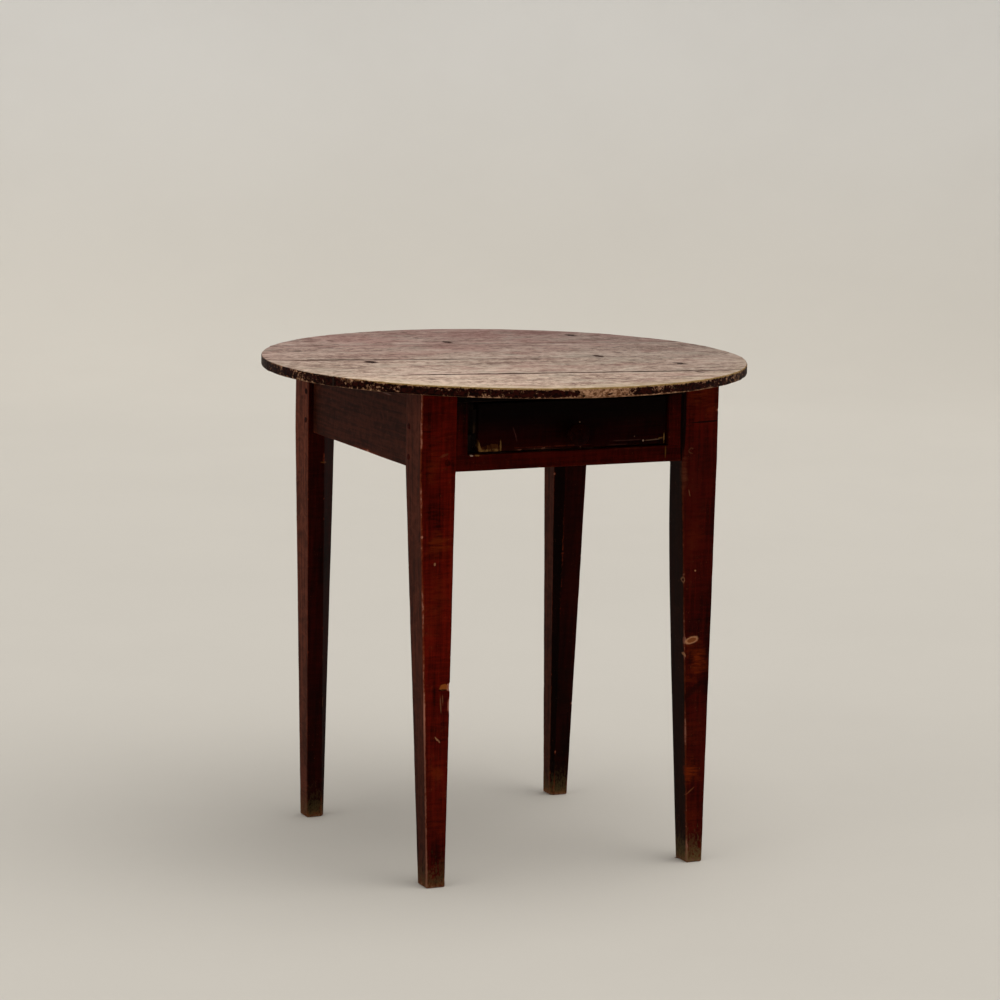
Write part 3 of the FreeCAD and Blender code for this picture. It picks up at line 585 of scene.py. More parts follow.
def board_outline(front, rear, spacing):
    """Outline of one board, counter-clockwise, with 1 at each point on the rim and 0 on a seam."""
    points, kinds = [], []

    def straight(start, end):
        count = math.ceil(np.linalg.norm(end - start) / spacing)
        for k in range(count):
            points.append(start + (end - start) * k / count)
            kinds.append(0.0)

    def arc(start, end):
        first = math.atan2(start[1], start[0])
        sweep = (math.atan2(end[1], end[0]) - first) % (2 * math.pi)
        count = math.ceil(sweep * TOP_RADIUS / spacing)
        for k in range(count):
            angle = first + sweep * k / count
            points.append(TOP_RADIUS * np.array((math.cos(angle), math.sin(angle))))
            kinds.append(1.0)

    corners = []
    if front:
        left, right = seam_ends(front)
        straight(left, right)
        corners += [left, right]
    if rear:
        rear_left, rear_right = seam_ends(rear)
        corners += [rear_left, rear_right]
    if front and rear:
        arc(right, rear_right)
        straight(rear_right, rear_left)
        arc(rear_left, left)
    elif front:
        arc(right, left)
    else:
        straight(rear_right, rear_left)
        arc(rear_left, rear_right)
    return np.array(points), np.array(kinds), np.array(corners)


def filled(loop, inner, flip):
    """Triangles that fill a loop and take up the points inside it."""
    points = np.concatenate([loop, inner])
    count = len(loop)
    edges = [(k, (k + 1) % count) for k in range(count)]
    made = geometry.delaunay_2d_cdt([Vector(p) for p in points], edges, [], 1, 1e-7)
    names = [origin[0] if origin else -1 for origin in made[3]]
    triangles = [tuple(names[v] for v in face) for face in made[2]]
    if any(-1 in face for face in triangles):
        raise RuntimeError("the loop of a board crosses itself")
    return [face[::-1] if flip else face for face in triangles]


def surface_height(points, settings, seed, settled):
    """Height of the top's worn face at places along and across the boards."""
    along, across = points[:, 0], points[:, 1]
    drop = settings.hollow * (0.5 + 0.5 * relief(along, across, *HOLLOWS, seed))
    drop += 0.3 * settings.hollow * (0.5 + 0.5 * relief(along, across, *SMALL_HOLLOWS, seed + 1))
    if settled:
        seam, start, end, depth = settled
        middle, slope = seam_line(seam, 0)
        away = middle + slope * along - across
        share = eased(np.clip(np.minimum(along - start, end - along) / SETTLED_RUN, 0, 1))
        uneven = 0.75 + 0.25 * drift(along, SETTLED_WAVER, seed + 2)
        drop = drop + depth * share * uneven * np.exp(-(away / SETTLED_WIDTH) ** 2)
    for x, y in TOP_NAILS:
        nail = np.array((x * GRAIN[0] + y * GRAIN[1], x * ACROSS[0] + y * ACROSS[1]))
        away = np.linalg.norm(points - nail, axis=1)
        if (x, y) in SHOWN_NAILS:
            drop = drop + settings.nail_dent * np.exp(-(away / DENT_WIDTH) ** 4)
        else:
            filler = np.exp(-(away / FILLER_WIDTH) ** 4)
            drop = drop * (1 - filler) + FILLER_DEPTH * filler
    return TABLE_HEIGHT - FACE_SHY - drop


def inner_points(front, rear, step, margin):
    """Even places inside a board, and closer ones round the nails."""
    along = np.arange(-TOP_RADIUS, TOP_RADIUS, step)
    across = np.arange(-TOP_RADIUS, TOP_RADIUS, 0.8 * step)
    grid = np.stack(np.meshgrid(along, across, indexing="ij"), axis=-1)
    grid[:, ::2, 0] += step / 2
    points = [grid.reshape(-1, 2)]
    if step == UPPER_STEP:
        for x, y in TOP_NAILS:
            nail = np.array((x * GRAIN[0] + y * GRAIN[1], x * ACROSS[0] + y * ACROSS[1]))
            away = np.linalg.norm(points[0] - nail, axis=1)
            points[0] = points[0][away > NAIL_CLEARING]
            for radius, turns in NAIL_RINGS:
                angles = np.arange(turns) * 2 * math.pi / turns
                points.append(nail + radius * np.stack([np.cos(angles), np.sin(angles)], axis=1))
    places = np.concatenate(points)
    keep = np.linalg.norm(places, axis=1) < TOP_RADIUS - margin
    if front:
        keep &= places[:, 1] > front[0] + front[1] * places[:, 0] + margin
    if rear:
        keep &= places[:, 1] < rear[0] + rear[1] * places[:, 0] - margin
    return places[keep]


def board_rows(outline, kinds, corners, seed, settings, settled):
    """Rows of points up a board's edge and on to its face: places, heights, rim, seam and wear of each."""
    tangent = np.roll(outline, -1, axis=0) - np.roll(outline, 1, axis=0)
    inward = turned_left(tangent / np.linalg.norm(tangent, axis=1, keepdims=True))
    away = np.min(np.linalg.norm(outline[:, None] - corners[None], axis=2), axis=1)
    on_rim = kinds > 0.5
    place = np.where(on_rim, np.arctan2(outline[:, 1], outline[:, 0]) * TOP_RADIUS, outline[:, 0] + 2.0)
    chips = chip_profile(place, settings.rim_chips, settings.rim_chip_size, seed)
    rim_arris = settings.rim_arris * (1 + 0.4 * drift(place, RIM_WAVER, seed + 3)) + chips
    seam_arris = settings.seam_arris * (1 + 0.6 * drift(place, SEAM_WAVER, seed + 4))
    upper = np.where(on_rim, rim_arris, seam_arris)
    lower_arris = LOWER_ARRIS * (1 + 0.5 * drift(place, LOWER_WAVER, seed + 5))
    lower = np.where(on_rim, lower_arris, LOWER_SEAM_ARRIS)
    squeeze = np.minimum(1, (0.0003 + 0.4 * away) / (upper + 0.004))
    rows = []

    def face_height(depth):
        return surface_height(outline + inward * (depth * squeeze)[:, None], settings, seed + 20, settled)

    def row(depth, height, rim, wear):
        places = outline + inward * (depth * squeeze)[:, None]
        rows.append((places, height, rim * kinds, np.where(on_rim, 0, rim), np.zeros(len(kinds)) + wear))

    row(lower + UNDER_RING, FRAME_TOP, 0.0, 0.0)
    for k, (rim, wear) in enumerate(((0.6, 0.9), (0.9, 1.0), (1.0, 0.7))):
        angle = math.pi / 2 * k / 2
        row(lower * (1 - math.sin(angle)), FRAME_TOP + lower * (1 - math.cos(angle)), rim, wear)
    for k in range(1, RIM_LEVELS):
        level = k / RIM_LEVELS
        face = FRAME_TOP + lower + (TABLE_HEIGHT - upper - FRAME_TOP - lower) * level
        bite = settings.rim_bite * np.clip(relief(place, face, *BITE_SIZE, seed + 6) - 0.1, 0, 1)
        row(bite * kinds, face, 1.0, 0.25 + 0.5 * max(0, level - 0.5))
    for k, (rim, wear) in enumerate(((1.0, 0.9), (0.8, 1.0), (0.5, 1.0), (0.25, 0.9), (0.1, 0.8))):
        angle = math.pi / 2 * k / 4
        depth = upper * (1 - math.cos(angle))
        row(depth, face_height(depth) - upper * (1 - math.sin(angle)), rim, wear)
    for extra, wear in UPPER_RINGS:
        row(upper + extra, face_height(upper + extra), 0.0, wear)
    return rows


def worn_board(name, front, rear, seed, settings, finish, settled):
    """One board with a worn face, a chipped rim and open seams.

    Attributes: rim is 1 on the rim's face, seam is 1 on the faces in a seam, wear is 1 at the arrises.
    """
    front = front and seam_line(front, 1)
    rear = rear and seam_line(rear, -1)
    outline, kinds, corners = board_outline(front, rear, OUTLINE_STEP)
    rows = board_rows(outline, kinds, corners, seed, settings, settled)
    count = len(outline)
    faces = ring_faces(len(rows), count)
    total = len(rows) * count
    under = inner_points(front, rear, UNDER_STEP, 0.016)
    above = inner_points(front, rear, UPPER_STEP, NAIL_CLEARING)
    ends = ((0, rows[0][0], under, True), (total - count, rows[-1][0], above, False))
    for loop_start, loop, inner, flip in ends:
        for face in filled(loop, inner, flip):
            faces.append(tuple(loop_start + v if v < count else total + v - count for v in face))
        total += len(inner)
    spots = np.concatenate([r[0] for r in rows] + [under, above])
    tops = surface_height(above, settings, seed + 20, settled)
    levels = np.concatenate([np.zeros(count) + r[1] for r in rows] + [np.full(len(under), FRAME_TOP), tops])
    plain = np.zeros(len(under) + len(above))
    keys = ("rim", "seam", "wear")
    values = {key: np.concatenate([r[i] for r in rows] + [plain]) for i, key in enumerate(keys, 2)}
    flat = spots[:, :1] * GRAIN + spots[:, 1:] * ACROSS
    points = np.concatenate([flat, levels[:, None]], axis=1)
    return piece(name + "_worn", points, faces, values, "frame", [name], finish)


# ---- finishes ----

# How far the grain of one piece lies from the next one's, along and across.
SEED_STEP = (1.37, 0.71, 2.11)

# Noises of each finish: fineness in turns per metre along the grain and across it both ways, detail,
# roughness and distortion.
PAINT_NOISES = {
    "broad": ((7.0, 26.0, 26.0), 3.0, 0.55, 0.0),
    "streak": ((9.0, 190.0, 190.0), 4.0, 0.62, 0.2),
    "brushed": ((95.0, 16.0, 16.0), 3.0, 0.6, 1.6),
    "loops": ((42.0, 34.0, 34.0), 4.0, 0.62, 2.2),
    "strokes": ((250.0, 34.0, 34.0), 3.0, 0.6, 0.8),
    "fine": ((240.0, 700.0, 700.0), 3.0, 0.6, 0.0),
    "speckle": ((150.0, 300.0, 300.0), 4.0, 0.7, 0.0),
    "dots": ((420.0, 520.0, 520.0), 2.0, 0.5, 0.0),
}
BOARD_NOISES = {
    "lines": ((8.0, 125.0, 30.0), 5.0, 0.7, 0.0),
    "fibres": ((22.0, 600.0, 100.0), 3.0, 0.65, 0.0),
    "broad": ((4.0, 14.0, 5.0), 3.0, 0.6, 0.0),
    "cloud": ((18.0, 32.0, 5.0), 5.0, 0.68, 0.5),
    "mottle": ((85.0, 105.0, 5.0), 4.0, 0.75, 0.4),
    "patches": ((11.0, 19.0, 5.0), 4.0, 0.62, 0.4),
    "contour": ((2.5, 34.0, 8.0), 3.0, 0.55, 0.0),
    "broken": ((12.0, 45.0, 8.0), 3.0, 0.6, 0.0),
    "pits": ((70.0, 210.0, 60.0), 3.0, 0.6, 0.0),
}
RIM_NOISES = {
    "flake": ((140.0, 140.0, 150.0), 5.0, 0.80, 0.7),
    "fleck": ((170.0, 170.0, 260.0), 4.0, 0.7, 0.0),
    "patchy": ((22.0, 22.0, 60.0), 4.0, 0.65, 0.0),
}
BOARD_WARP = (2.5, 9.0, 9.0)


class Finish:
    """One material, with short calls that wire its nodes."""

    def __init__(self, name):
        self.material = bpy.data.materials.new(name)
        self.material.use_nodes = True
        self.tree = self.material.node_tree
        self.tree.nodes.clear()
        self.shader = self.tree.nodes.new("ShaderNodeBsdfPrincipled")
        output = self.tree.nodes.new("ShaderNodeOutputMaterial")
        self.tree.links.new(self.shader.outputs[0], output.inputs[0])
        self.place = self.tree.nodes.new("ShaderNodeTexCoord").outputs["Object"]

    def feed(self, socket, value):
        if isinstance(value, bpy.types.NodeSocket):
            self.tree.links.new(value, socket)
        elif socket.type == "RGBA" and len(value) == 3:
            socket.default_value = (*value, 1.0)
        else:
            socket.default_value = value

    def make(self, kind, sockets, output=0, **settings):
        """Output of a new node whose inputs are set or linked by index or name."""
        node = self.tree.nodes.new("ShaderNode" + kind)
        for key, value in settings.items():
            setattr(node, key, value)
        for key, value in sockets.items():
            self.feed(node.inputs[key], value)
        return node.outputs[output]

    def sum(self, *values):
        total = values[0]
        for value in values[1:]:
            total = self.make("Math", {0: total, 1: value}, operation="ADD")
        return total

    def times(self, first, second):
        return self.make("Math", {0: first, 1: second}, operation="MULTIPLY")

    def blend(self, offset, *parts):
        """An offset and the sum of (value, weight) parts."""
        return self.sum(*(self.times(value, weight) for value, weight in parts), offset)

    def swing(self, noise, strength):
        """A noise that swings both ways about zero."""
        return self.times(self.sum(noise, -0.5), strength)

    def most(self, values):
        total = values[0]
        for value in values[1:]:
            total = self.make("Math", {0: total, 1: value}, operation="MAXIMUM")
        return total

    def remap(self, value, low, high, to_low=0.0, to_high=1.0):
        return self.make("MapRange", {0: value, 1: low, 2: high, 3: to_low, 4: to_high},
                         interpolation_type="SMOOTHSTEP")

    def stretch(self, vector, scale):
        return self.make("VectorMath", {0: vector, 1: scale}, operation="MULTIPLY")

    def shift(self, vector, offset):
        return self.make("VectorMath", {0: vector, 1: offset}, operation="ADD")

    def attribute(self, name):
        return self.make("Attribute", {}, output="Fac", attribute_name=name)

    def noise(self, vector, detail=3.0, roughness=0.55, distortion=0.0):
        sockets = {"Vector": vector, "Scale": 1.0, "Detail": detail, "Roughness": roughness,
                   "Distortion": distortion}
        return self.make("TexNoise", sockets)

    def pattern(self, vector, fineness, *form):
        """A noise of the given fineness, in turns per metre, with its detail, roughness and distortion."""
        return self.noise(self.stretch(vector, fineness), *form)

    def patterns(self, vector, forms):
        """A noise for each named form."""
        return [self.pattern(vector, *form) for form in forms.values()]

    def mix(self, share, first, second, blend="MIX"):
        return self.make("Mix", {0: share, 6: first, 7: second}, output=2, data_type="RGBA",
                         blend_type=blend)

    def part(self, vector, index):
        """One coordinate of a vector."""
        return self.make("SeparateXYZ", {0: vector}, output=index)

    def ramp(self, value, stops):
        """Colour from a value, through (place, colour) stops."""
        node = self.tree.nodes.new("ShaderNodeValToRGB")
        self.feed(node.inputs[0], value)
        while len(node.color_ramp.elements) < len(stops):
            node.color_ramp.elements.new(0.5)
        for element, (where, colour) in zip(node.color_ramp.elements, stops):
            element.position = where
            element.color = (*colour, 1.0)
        return node.outputs[0]

    def grain(self, axis, seed):
        """Coordinates with the grain first, moved by the seed so that no two pieces are alike."""
        order = {"X": (0, 1, 2), "Y": (1, 0, 2), "Z": (2, 0, 1)}[axis]
        turned = self.make("CombineXYZ", {i: self.part(self.place, k) for i, k in enumerate(order)})
        return self.shift(turned, tuple(seed * step for step in SEED_STEP))

    def board_grain(self, seed):
        """Coordinates along and across the boards of the top."""
        turned = self.make("Mapping", {"Vector": self.place, "Rotation": (0.0, 0.0, -BOARD_ANGLE)})
        return self.shift(turned, tuple(seed * step for step in SEED_STEP))

    def patch(self, centre, size, rag=0.5, soft=0.35, tilt=0.0, hollow=0.0):
        """Ragged spot: 1 at its centre and 0 outside its size. A hollow one is a ring from that share on."""
        away = self.shift(self.place, tuple(-c for c in centre))
        if tilt:
            turn = {"Vector": away, "Angle": math.radians(tilt)}
            away = self.make("VectorRotate", turn, rotation_type="Y_AXIS")
        away = self.stretch(away, tuple(1 / s for s in size))
        distance = self.make("VectorMath", {0: away}, output="Value", operation="LENGTH")
        scale = 1.6 / max(size[0], size[2])
        ragged = self.swing(self.pattern(self.place, (scale,) * 3, 3.0, 0.65), 2 * rag)
        distance = self.sum(distance, ragged)
        reach = self.remap(distance, 1.0, 1.0 - soft)
        if hollow:
            reach = self.times(reach, self.remap(distance, hollow - 0.15, hollow + 0.05))
        return reach

    def seam_band(self, seam, start, end, width, strength, shift):
        """Share of a wavering, broken band along a seam of the top."""
        middle, slope = seam_line(seam, 0)
        flat = self.board_grain(0)
        along, across = self.part(flat, 0), self.part(flat, 1)
        waver = self.swing(self.pattern(flat, (22.0, 22.0, 0.1), 3.0, 0.6), 0.006)
        away = self.sum(across, self.times(along, -slope), -middle - shift, waver)
        away = self.make("Math", {0: away}, operation="ABSOLUTE")
        band = self.remap(away, width, 0.35 * width, 0.0, strength)
        broken = self.pattern(flat, (26.0, 8.0, 0.1), 3.0, 0.6)
        band = self.times(band, self.remap(broken, 0.34, 0.56, 0.35, 1.0))
        ends = self.times(self.remap(along, start, start + 0.05), self.remap(along, end, end - 0.05))
        return self.times(band, ends)

    def relieved(self, height, depth, strength=1.0):
        """Fine relief from a height, in metres of depth."""
        normal = self.make("Bump", {"Strength": strength, "Distance": depth, "Height": height})
        self.feed(self.shader.inputs["Normal"], normal)

    def finished(self, colour, roughness, specular):
        self.feed(self.shader.inputs["Base Color"], colour)
        self.feed(self.shader.inputs["Roughness"], roughness)
        self.shader.inputs["Specular IOR Level"].default_value = specular
        return self.material


def shaded(colour, share):
    return tuple(share * c for c in colour)


def bare_colour(finish, grain, settings):
    """Aged bare wood: streaks along the grain in three tones."""
    streak = finish.pattern(grain, (7.0, 190.0, 190.0), 4.0, 0.6, 0.3)
    broad = finish.pattern(grain, (3.0, 18.0, 18.0), 2.0)
    level = finish.blend(-0.05, (streak, 0.65), (broad, 0.45))
    light = settings.bare
    return finish.ramp(level, [(0.25, shaded(light, 0.35)), (0.5, shaded(light, 0.75)), (0.75, light)])


# Depth of the local marks into a face.
MARK_DEPTH = 0.01


def spot(centre, size, colour, strength, tilt=0.0, rag=0.45, soft=0.35, hollow=0.0, brushed=False):
    """One local mark of the paint. Its size is half of its extent across and up, or with depth between them.

    Tilt is in degrees about Y. A brushed mark is broken by strokes.
    """
    if len(size) == 2:
        size = (size[0], MARK_DEPTH, size[1])
    place = {"centre": centre, "size": size, "tilt": tilt, "rag": rag, "soft": soft, "hollow": hollow}
    return {"place": place, "colour": colour, "strength": strength, "brushed": brushed}


def glow(centre, size, colour, strength):
    """A patch with soft edges and brush strokes across it, where thin paint lets the wood shine through."""
    return spot(centre, size, colour, strength, rag=1.1, soft=0.95, brushed=True)


def hoop(centre, size, colour, strength):
    """A mark that is a thin ring."""
    return spot(centre, size, colour, strength, rag=0.3, hollow=0.62)


def brushed_colour(finish, noises, settings, depth, curl):
    """Streaky paint, brushed in curls, thin in patches, brown as a painted sheen on some sides, painted
    shade on some.
    """
    broad, streak, brushed, loops, strokes = noises
    body, thin = shaded(settings.paint, depth), shaded(settings.thin_paint, depth)
    level = finish.blend(-0.25 * curl - 0.085, (broad, 0.45), (streak, 0.40), (brushed, 0.5 * curl + 0.1),
                         (strokes, 0.22))
    colour = finish.ramp(level, [
        (0.36, shaded(body, 0.22)),
        (0.48, shaded(body, 0.75)),
        (0.58, shaded(body, 1.25)),
        (0.72, tuple(0.7 * a + 0.3 * b for a, b in zip(body, thin))),
    ])
    patchy = finish.sum(finish.times(loops, 0.62), finish.times(broad, 0.38))
    colour = finish.mix(finish.remap(patchy, 0.52, 0.66, 0.0, curl), colour, shaded(thin, 0.8))
    washed = finish.sum(finish.times(streak, 0.6), finish.times(loops, 0.4))
    faded = finish.mix(finish.remap(washed, 0.38, 0.62), shaded(settings.sheen_and_faded_paint, 0.5 * depth),
                       shaded(settings.sheen_and_faded_paint, 1.4 * depth))
    # Brown paint, which also stands in as a painted sheen on lit sides, and near black as painted shade on
    # shaded sides.
    colour = finish.mix(finish.attribute("faded"), colour, faded)
    return finish.mix(finish.attribute("dark"), colour, settings.near_black), thin


def old_paint(name, axis, seed, settings, depth=1.0, curl=0.3, foot=(), spots=(), worn=(), darkening=(),
              flecks=0.25):
    """Old red paint over bare wood: brushed in curls, thin in patches, rubbed through at the arrises.

    curl says how much thin orange paint shows, foot is the height of the worn foot and the share of dirt on
    it, spots are local marks, worn are (centre, size, amount), and darkening is the height where the paint
    starts to turn near black, the height where it is full, and how full; round the drawer this is painted
    shade under the top. flecks is the strength of the small pale flecks.
    """
    finish = Finish(name)
    grain = finish.grain(axis, seed)
    broad, streak, brushed, loops, strokes, fine, speckle, dots = finish.patterns(grain, PAINT_NOISES)
    colour, thin = brushed_colour(finish, (broad, streak, brushed, loops, strokes), settings, depth, curl)
    rubbed = finish.sum(finish.attribute("wear"), finish.swing(speckle, 1.7), finish.swing(broad, 1.2))
    for centre, size, amount in worn:
        rubbed = finish.sum(rubbed, finish.times(finish.patch(centre, size, 0.7, 0.8), amount))
    height = finish.part(finish.place, 2)
    if foot:
        reach, dirt = foot
        rubbed = finish.sum(rubbed, finish.remap(height, reach, 0.0, 0.0, 0.7))
    thinned = finish.remap(rubbed, 0.55, 1.15, 0.0, 0.8)
    opened = finish.remap(rubbed, 1.15, 1.45, 0.0, 0.9)
    bare = finish.most([opened, finish.attribute("bare")])
    colour = finish.mix(thinned, colour, thin)
    line = finish.mix(finish.remap(streak, 0.35, 0.65), shaded(settings.line, 0.55), settings.line)
    colour = finish.mix(opened, colour, line)
    colour = finish.mix(finish.attribute("bare"), colour, bare_colour(finish, grain, settings))
    if foot:
        dirt = finish.remap(finish.sum(height, finish.swing(speckle, 0.24)), 0.036, 0.014, 0.0, dirt)
        dirt = finish.times(dirt, finish.remap(speckle, 0.40, 0.56, 0.25, 1.0))
        colour = finish.mix(dirt, colour, settings.grime)
    # Near black by height: painted shade under the top on the pieces round the drawer, darker downwards on
    # the legs.
    if darkening:
        start, full, amount = darkening
        near_black = finish.remap(finish.sum(height, finish.swing(broad, 0.02)), start, full, 0.0, amount)
        colour = finish.mix(near_black, colour, settings.near_black)
    dots = finish.times(finish.remap(dots, 0.68, 0.73), finish.remap(loops, 0.50, 0.60, 0.0, flecks))
    colour = finish.mix(dots, colour, settings.fleck)
    marks = []
    for mark in spots:
        share = finish.times(finish.patch(**mark["place"]), mark["strength"])
        if mark["brushed"]:
            share = finish.times(share, finish.remap(strokes, 0.36, 0.58, 0.2, 1.0))
        colour = finish.mix(share, colour, mark["colour"])
        marks.append(share)
    sheen = finish.blend(settings.paint_roughness - 0.09, (streak, 0.18), (bare, 0.25))
    bumps = [(streak, 0.5), (fine, 0.25), (bare, -0.55), (thinned, -0.15)]
    if marks:
        bumps.append((finish.most(marks), -0.4))
    finish.relieved(finish.blend(0.0, *bumps), 0.0004, 0.8)
    return finish.finished(colour, sheen, settings.paint_gloss)


def board_face(finish, seed, settings, tint):
    """Colour of a board's worn face before its stains, with the noises that its relief and rim also use."""
    grain = finish.board_grain(seed)
    warp = finish.swing(finish.pattern(grain, BOARD_WARP, 2.0), 0.02)
    warp = finish.make("CombineXYZ", {1: warp})
    grain = finish.make("VectorMath", {0: grain, 1: warp}, operation="ADD")
    noises = finish.patterns(grain, BOARD_NOISES)
    lines, fibres, broad, cloud, mottle, patches, contour, broken, pits = noises
    level = finish.blend(-0.83, (lines, 0.45), (fibres, 0.36), (broad, 0.35), (cloud, 0.50), (mottle, 1.00))
    shades = (settings.top_dark, settings.top_mid, settings.top_light)
    dark, mid, light = (tuple(c * t for c, t in zip(shade, tint)) for shade in shades)
    colour = finish.ramp(level, [(0.34, dark), (0.5, mid), (0.66, light)])
    rightward, backward = finish.part(finish.place, 0), finish.part(finish.place, 1)
    red = finish.sum(patches, finish.times(mottle, 0.30), finish.remap(backward, -0.10, 0.33, -0.06, 0.10))
    red = finish.times(finish.remap(red, 0.58, 0.82, 0.0, settings.red_traces),
                       finish.remap(rightward, -0.28, -0.08, 0.3, 1.0))
    colour = finish.mix(red, colour, settings.top_red)
    grey = finish.sum(cloud, finish.times(patches, -0.6), 0.3)
    colour = finish.mix(finish.remap(grey, 0.50, 0.66, 0.0, 0.4), colour, settings.top_grey)
    contour = finish.make("Math", {0: finish.sum(contour, -0.5)}, operation="ABSOLUTE")
    cracks = finish.times(finish.remap(contour, 0.012, 0.003), finish.remap(broken, 0.50, 0.60, 0.0, 0.6))
    dirt = finish.remap(finish.sum(pits, finish.times(cloud, 0.3)), 0.76, 0.92, 0.0, 0.7)
    dirt = finish.most([dirt, cracks])
    colour = finish.mix(dirt, colour, settings.top_dirt)
    # Lighter at the front and darker towards the back: a painted reflection of the light on the top. Also
    # darker towards the right.
    painted_glare = finish.ramp(finish.remap(backward, -0.34, 0.34), [
        (0.0, (1.0, 1.0, 1.0)), (0.42, (0.86, 0.86, 0.86)), (1.0, (0.70, 0.65, 0.68))])
    rightward_shade = finish.ramp(finish.remap(rightward, -0.34, 0.34), [
        (0.0, (1.0, 1.0, 1.0)), (1.0, (0.74, 0.75, 0.76))])
    for shade in (painted_glare, rightward_shade):
        colour = finish.mix(1.0, colour, shade, "MULTIPLY")
    flat = finish.stretch(finish.place, (1.0, 1.0, 0.0))
    radius = finish.make("VectorMath", {0: flat}, output="Value", operation="LENGTH")
    fringe = finish.sum(radius, finish.swing(cloud, 0.06), finish.times(backward, -0.10))
    fringe = finish.times(finish.remap(fringe, 0.340, 0.386, 0.0, 0.5),
                          finish.remap(rightward, 0.22, 0.04, 0.35, 1.0))
    return finish.mix(fringe, colour, settings.top_fringe), lines, fibres, mottle, dirt


def stained(finish, colour, settings):
    """Dirt and worn wood along the seams, and the stains, knots and nail marks of the top."""
    wear_bands = finish.most([finish.seam_band(*band) for band in SEAM_WEAR])
    colour = finish.mix(wear_bands, colour, settings.top_light)
    dirt_bands = finish.most([finish.seam_band(*band) for band in SEAM_DIRT])
    colour = finish.mix(dirt_bands, colour, settings.top_dirt)
    marks = [(x, y, FILLED_STAIN, 0.8, FILLED_STRENGTH) for x, y in FILLED_NAILS]
    marks += [(x, y, SHOWN_STAIN, 0.5, strength) for (x, y), strength in SHOWN_NAILS.items()]
    marks += [(x, y, (length, width, MARK_DEPTH), 0.6, strength)
              for x, y, length, width, strength in TOP_MARKS]
    stains = [finish.times(finish.patch((x, y, TABLE_HEIGHT), size, 0.5, soft), strength)
              for x, y, size, soft, strength in marks]
    return finish.mix(finish.most(stains), colour, settings.iron_stain)


def rim_colour(finish, settings, flake, height):
    """Dark flaking paint of the rim, chipped to the wood and worn golden along its upper arris."""
    fleck, patchy = (finish.pattern(finish.place, *RIM_NOISES[key]) for key in ("fleck", "patchy"))
    wear, backward = finish.attribute("wear"), finish.part(finish.place, 1)
    worn = finish.sum(finish.times(wear, 0.22), finish.swing(flake, 2.0), finish.swing(patchy, 1.1))
    for centre, size, amount in RIM_BARE:
        worn = finish.sum(worn, finish.times(finish.patch(centre, size, 0.5, 0.9), amount))
    paint = finish.mix(finish.remap(fleck, 0.40, 0.62), settings.rim_paint, settings.rim_brown)
    chipped = finish.mix(finish.remap(fleck, 0.40, 0.64), settings.rim_wood, settings.rim_pale)
    upper = finish.times(finish.remap(height, TABLE_HEIGHT - 0.0040, TABLE_HEIGHT - 0.0014),
                         finish.remap(backward, -0.14, -0.24))
    worn = finish.sum(worn, finish.times(upper, 0.34))
    chipped = finish.mix(finish.times(upper, 0.85), chipped, settings.rim_gold)
    return finish.mix(finish.remap(worn, 0.22, 0.31), paint, chipped)


def board_finish(name, seed, settings, tint):
    """Worn top: mottled wood with traces of red, dirty seams, iron stains and a dark chipped rim."""
    finish = Finish(name)
    colour, lines, fibres, mottle, dirt = board_face(finish, seed, settings, tint)
    colour = stained(finish, colour, settings)
    rim, seam = finish.attribute("rim"), finish.attribute("seam")
    height = finish.part(finish.place, 2)
    flake = finish.pattern(finish.place, *RIM_NOISES["flake"])
    reach = finish.remap(finish.sum(rim, finish.swing(flake, 0.9)), 0.3, 0.55)
    colour = finish.mix(reach, colour, rim_colour(finish, settings, flake, height))
    ends = finish.remap(finish.times(seam, rim), 0.02, 0.15)
    colour = finish.mix(finish.most([finish.times(seam, 0.97), ends]), colour, settings.seam_dirt)
    underside = finish.remap(height, FRAME_TOP + 0.0004, FRAME_TOP + 0.0001)
    rough_wood = finish.mix(finish.remap(lines, 0.35, 0.65), settings.under_dark,
                            settings.under_light)
    colour = finish.mix(underside, colour, rough_wood)
    bump = finish.blend(0.0, (fibres, 0.35), (lines, 0.35), (mottle, 0.3), (dirt, -0.6),
                        (finish.times(rim, flake), 0.9))
    finish.relieved(bump, 0.0006, 0.9)
    roughness = finish.blend(settings.top_roughness - 0.12, (lines, 0.25), (reach, -0.08))
    return finish.finished(colour, roughness, settings.top_gloss)


def bare_wood(name, axis, seed, settings, shade=1.0, gap_shade=0.0):
    """Unpainted inner wood: dry and dusty, with saw marks and stains, and near black as painted shade for a
    way from the front.
    """
    finish = Finish(name)
    grain = finish.grain(axis, seed)
    colour = bare_colour(finish, grain, settings)
    stain = finish.pattern(finish.place, (9.0, 9.0, 9.0), 4.0, 0.6)
    dusk = finish.remap(stain, 0.35, 0.75, 0.25, 0.85)
    colour = finish.mix(dusk, colour, shaded(settings.bare, 0.42 * shade))
    # Near black for a way in from the front: painted shade in the gap beside the drawer.
    if gap_shade:
        near_black = finish.remap(finish.part(finish.place, 1), gap_shade - HALF_DEPTH, -HALF_DEPTH, 0.0, 0.97)
        colour = finish.mix(near_black, colour, settings.near_black)
    streak = finish.pattern(grain, (10.0, 320.0, 320.0), 4.0, 0.6)
    saw = finish.pattern(grain, (420.0, 20.0, 20.0), 2.0)
    finish.relieved(finish.sum(streak, finish.times(saw, 0.4)), 0.0005, 0.7)
    return finish.finished(colour, finish.remap(streak, 0.2, 0.8, 0.72, 0.9), 0.2)


def old_iron(name, settings):
    """Dark nail iron with rust."""
    finish = Finish(name)
    rust = finish.pattern(finish.place, (420.0, 420.0, 420.0), 4.0, 0.65)
    colour = finish.mix(finish.remap(rust, 0.4, 0.65), settings.iron, settings.rust)
    finish.relieved(rust, 0.0003, 0.8)
    finish.shader.inputs["Metallic"].default_value = 0.2
    return finish.finished(colour, finish.remap(rust, 0.3, 0.7, 0.5, 0.85), 0.1)


# ---- marks of the paint ----

